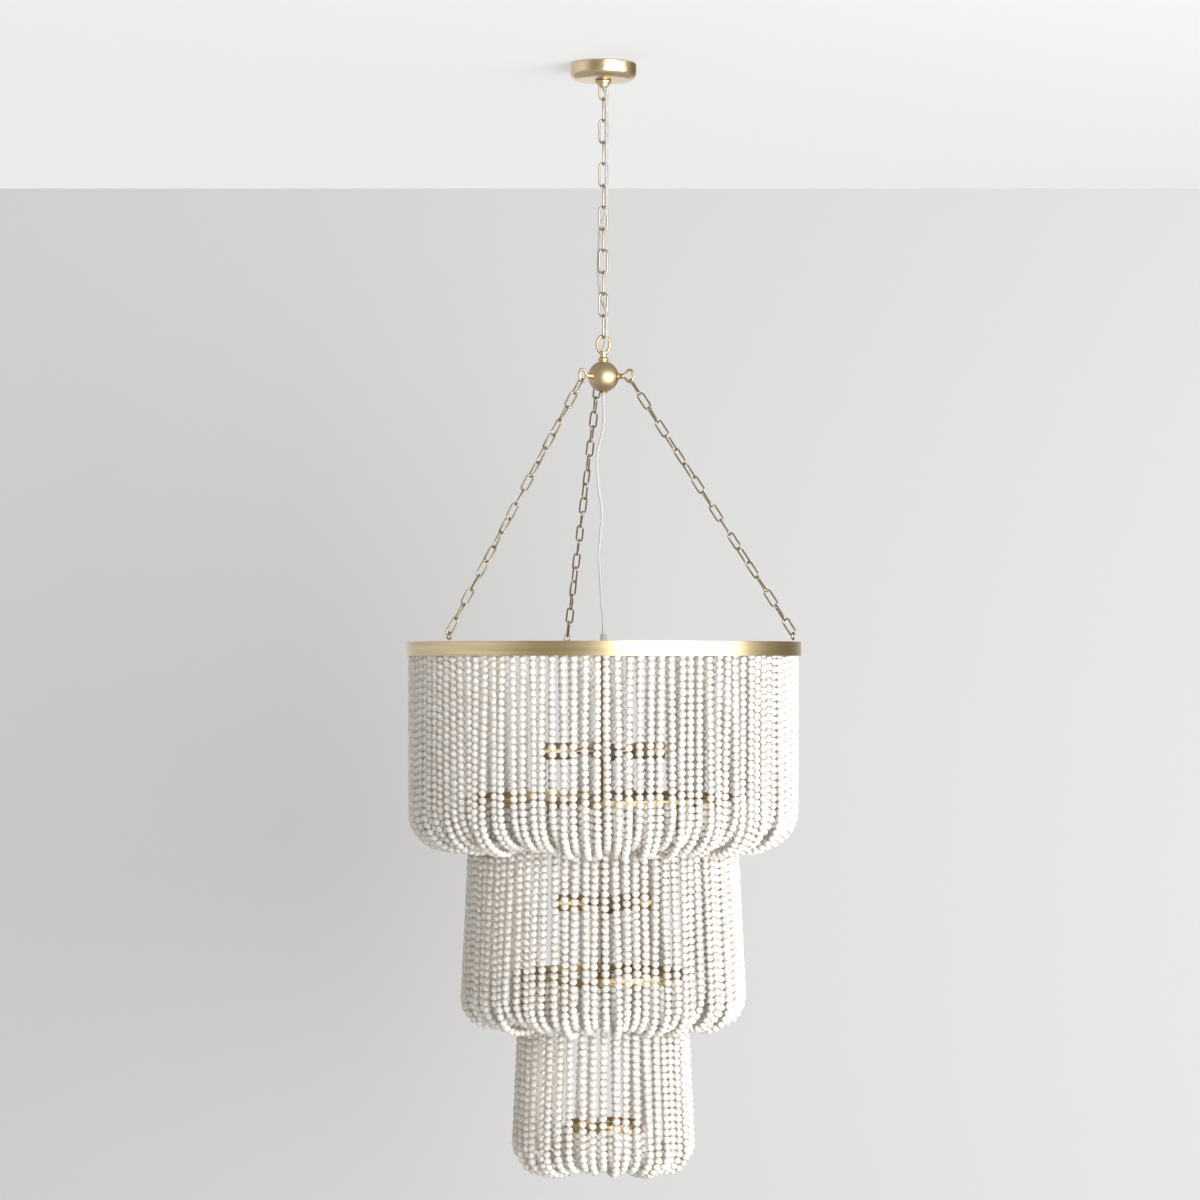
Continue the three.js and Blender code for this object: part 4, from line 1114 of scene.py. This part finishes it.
soft_light("softbox", (3.05, -5.74, -1.5), (0, 0, -1.5), size=(4.5, 5.6), power=515)
soft_light("right_softbox", (5.74, -3.05, -1.5), (0, 0, -1.5), size=(4.3, 4.6), power=275)
soft_light("left_lamp", (-3.1, 0.1, -0.5), (0, 0, -1.4), size=(0.9, 0.9), power=13, mirrored=False)
soft_light("back_fill", (-1.5, 5.5, -1.7), (0, 0, -1.4), size=(5.0, 1.8), power=120, mirrored=False)
print("lights:", len(bpy.data.lights))

# %% [markdown]
# Metal shows what is round it, so the room needs light and dark sides, though nothing there is seen. A
# photograph of a room could be wrapped round the scene, but a few steps of brightness and warmth are
# enough, and each can be set until the ball and the canopy shine as they should.

# %% The surround
world = bpy.data.worlds.new("surround")
scene.world = world
world.use_nodes = True
tree = world.node_tree

# Degrees from the camera to the right, brightness, warmth
ROUND_THE_ROOM = (
    (-180, 1.15, 0), (-165, 1.05, 0), (-143, 0.68, 0), (-120, 0.80, 0), (-90, 0.98, 0), (-70, 1.0, 0),
    (-58, 0.80, 0.2), (-46, 0.48, 0.8), (-32, 0.36, 1), (-20, 0.38, 0.8), (-8, 0.46, 0.4), (14, 0.50, 0),
    (45, 0.45, 0), (76, 0.60, 0), (88, 0.60, 0.3), (98, 0.42, 0.8), (106, 0.32, 1), (116, 0.24, 1),
    (132, 0.16, 0.8), (148, 0.26, 0.4), (168, 1.0, 0), (180, 1.15, 0),
)
FLOOR_LIGHT, CEILING_LIGHT = 0.26, 0.22
MIRRORED_MORE = 0.9

view = add_node(tree, "ShaderNodeTexCoord").outputs["Generated"]
x, y, z = add_node(tree, "ShaderNodeSeparateXYZ", {0: view}).outputs
azimuth = add_math(tree, "ARCTAN2", x, add_math(tree, "MULTIPLY", y, -1))
turn = add_node(tree, "ShaderNodeMapRange", {"Value": azimuth, "From Min": -math.pi, "From Max": math.pi})
ramp = add_node(tree, "ShaderNodeValToRGB", {"Fac": turn.outputs["Result"]})
stops = ramp.color_ramp.elements
for k, (degrees, brightness, warmth) in enumerate(ROUND_THE_ROOM):
    place = (degrees + 180) / 360
    stop = stops.new(place) if k else stops[0]
    stop.position = place
    stop.color = (brightness, brightness * (1 - 0.14 * warmth), brightness * (1 - 0.4 * warmth), 1)
stops.remove(stops[-1])
print("surround:", len(stops), "steps round the room")

# %% [markdown]
# That ring of tones holds near the horizon. Towards the ceiling and the floor the surround is even, and
# brighter in the metal. The camera itself sees a plain pale grey past the edges of the room.

# %% Its upper and lower parts, and what the camera sees
limits = {"From Min": -0.9, "From Max": 0.9, "To Min": FLOOR_LIGHT, "To Max": CEILING_LIGHT}
height = add_node(tree, "ShaderNodeMapRange", {"Value": z, **limits}).outputs["Result"]
path = add_node(tree, "ShaderNodeLightPath")
lift = add_math(tree, "MULTIPLY_ADD", path.outputs["Is Glossy Ray"], MIRRORED_MORE, 1)
even = add_math(tree, "MULTIPLY", height, lift)
limits = {"From Min": 0.16, "From Max": 0.5}
steep = add_node(tree, "ShaderNodeMapRange", {"Value": add_math(tree, "ABSOLUTE", z), **limits},
                 interpolation_type="SMOOTHSTEP").outputs["Result"]
sides = {"Factor": steep, "A": ramp.outputs["Color"], "B": even}
room = add_node(tree, "ShaderNodeMix", sides, data_type="RGBA").outputs["Result"]
surround = tree.nodes["Background"]
tree.links.new(room, surround.inputs["Color"])

plain = add_node(tree, "ShaderNodeBackground", {"Color": (0.80, 0.80, 0.80, 1)}).outputs["Background"]
sorted_rays = {"Fac": path.outputs["Is Camera Ray"], 1: surround.outputs["Background"], 2: plain}
seen = add_node(tree, "ShaderNodeMixShader", sorted_rays)
tree.links.new(seen.outputs["Shader"], tree.nodes["World Output"].inputs["Surface"])
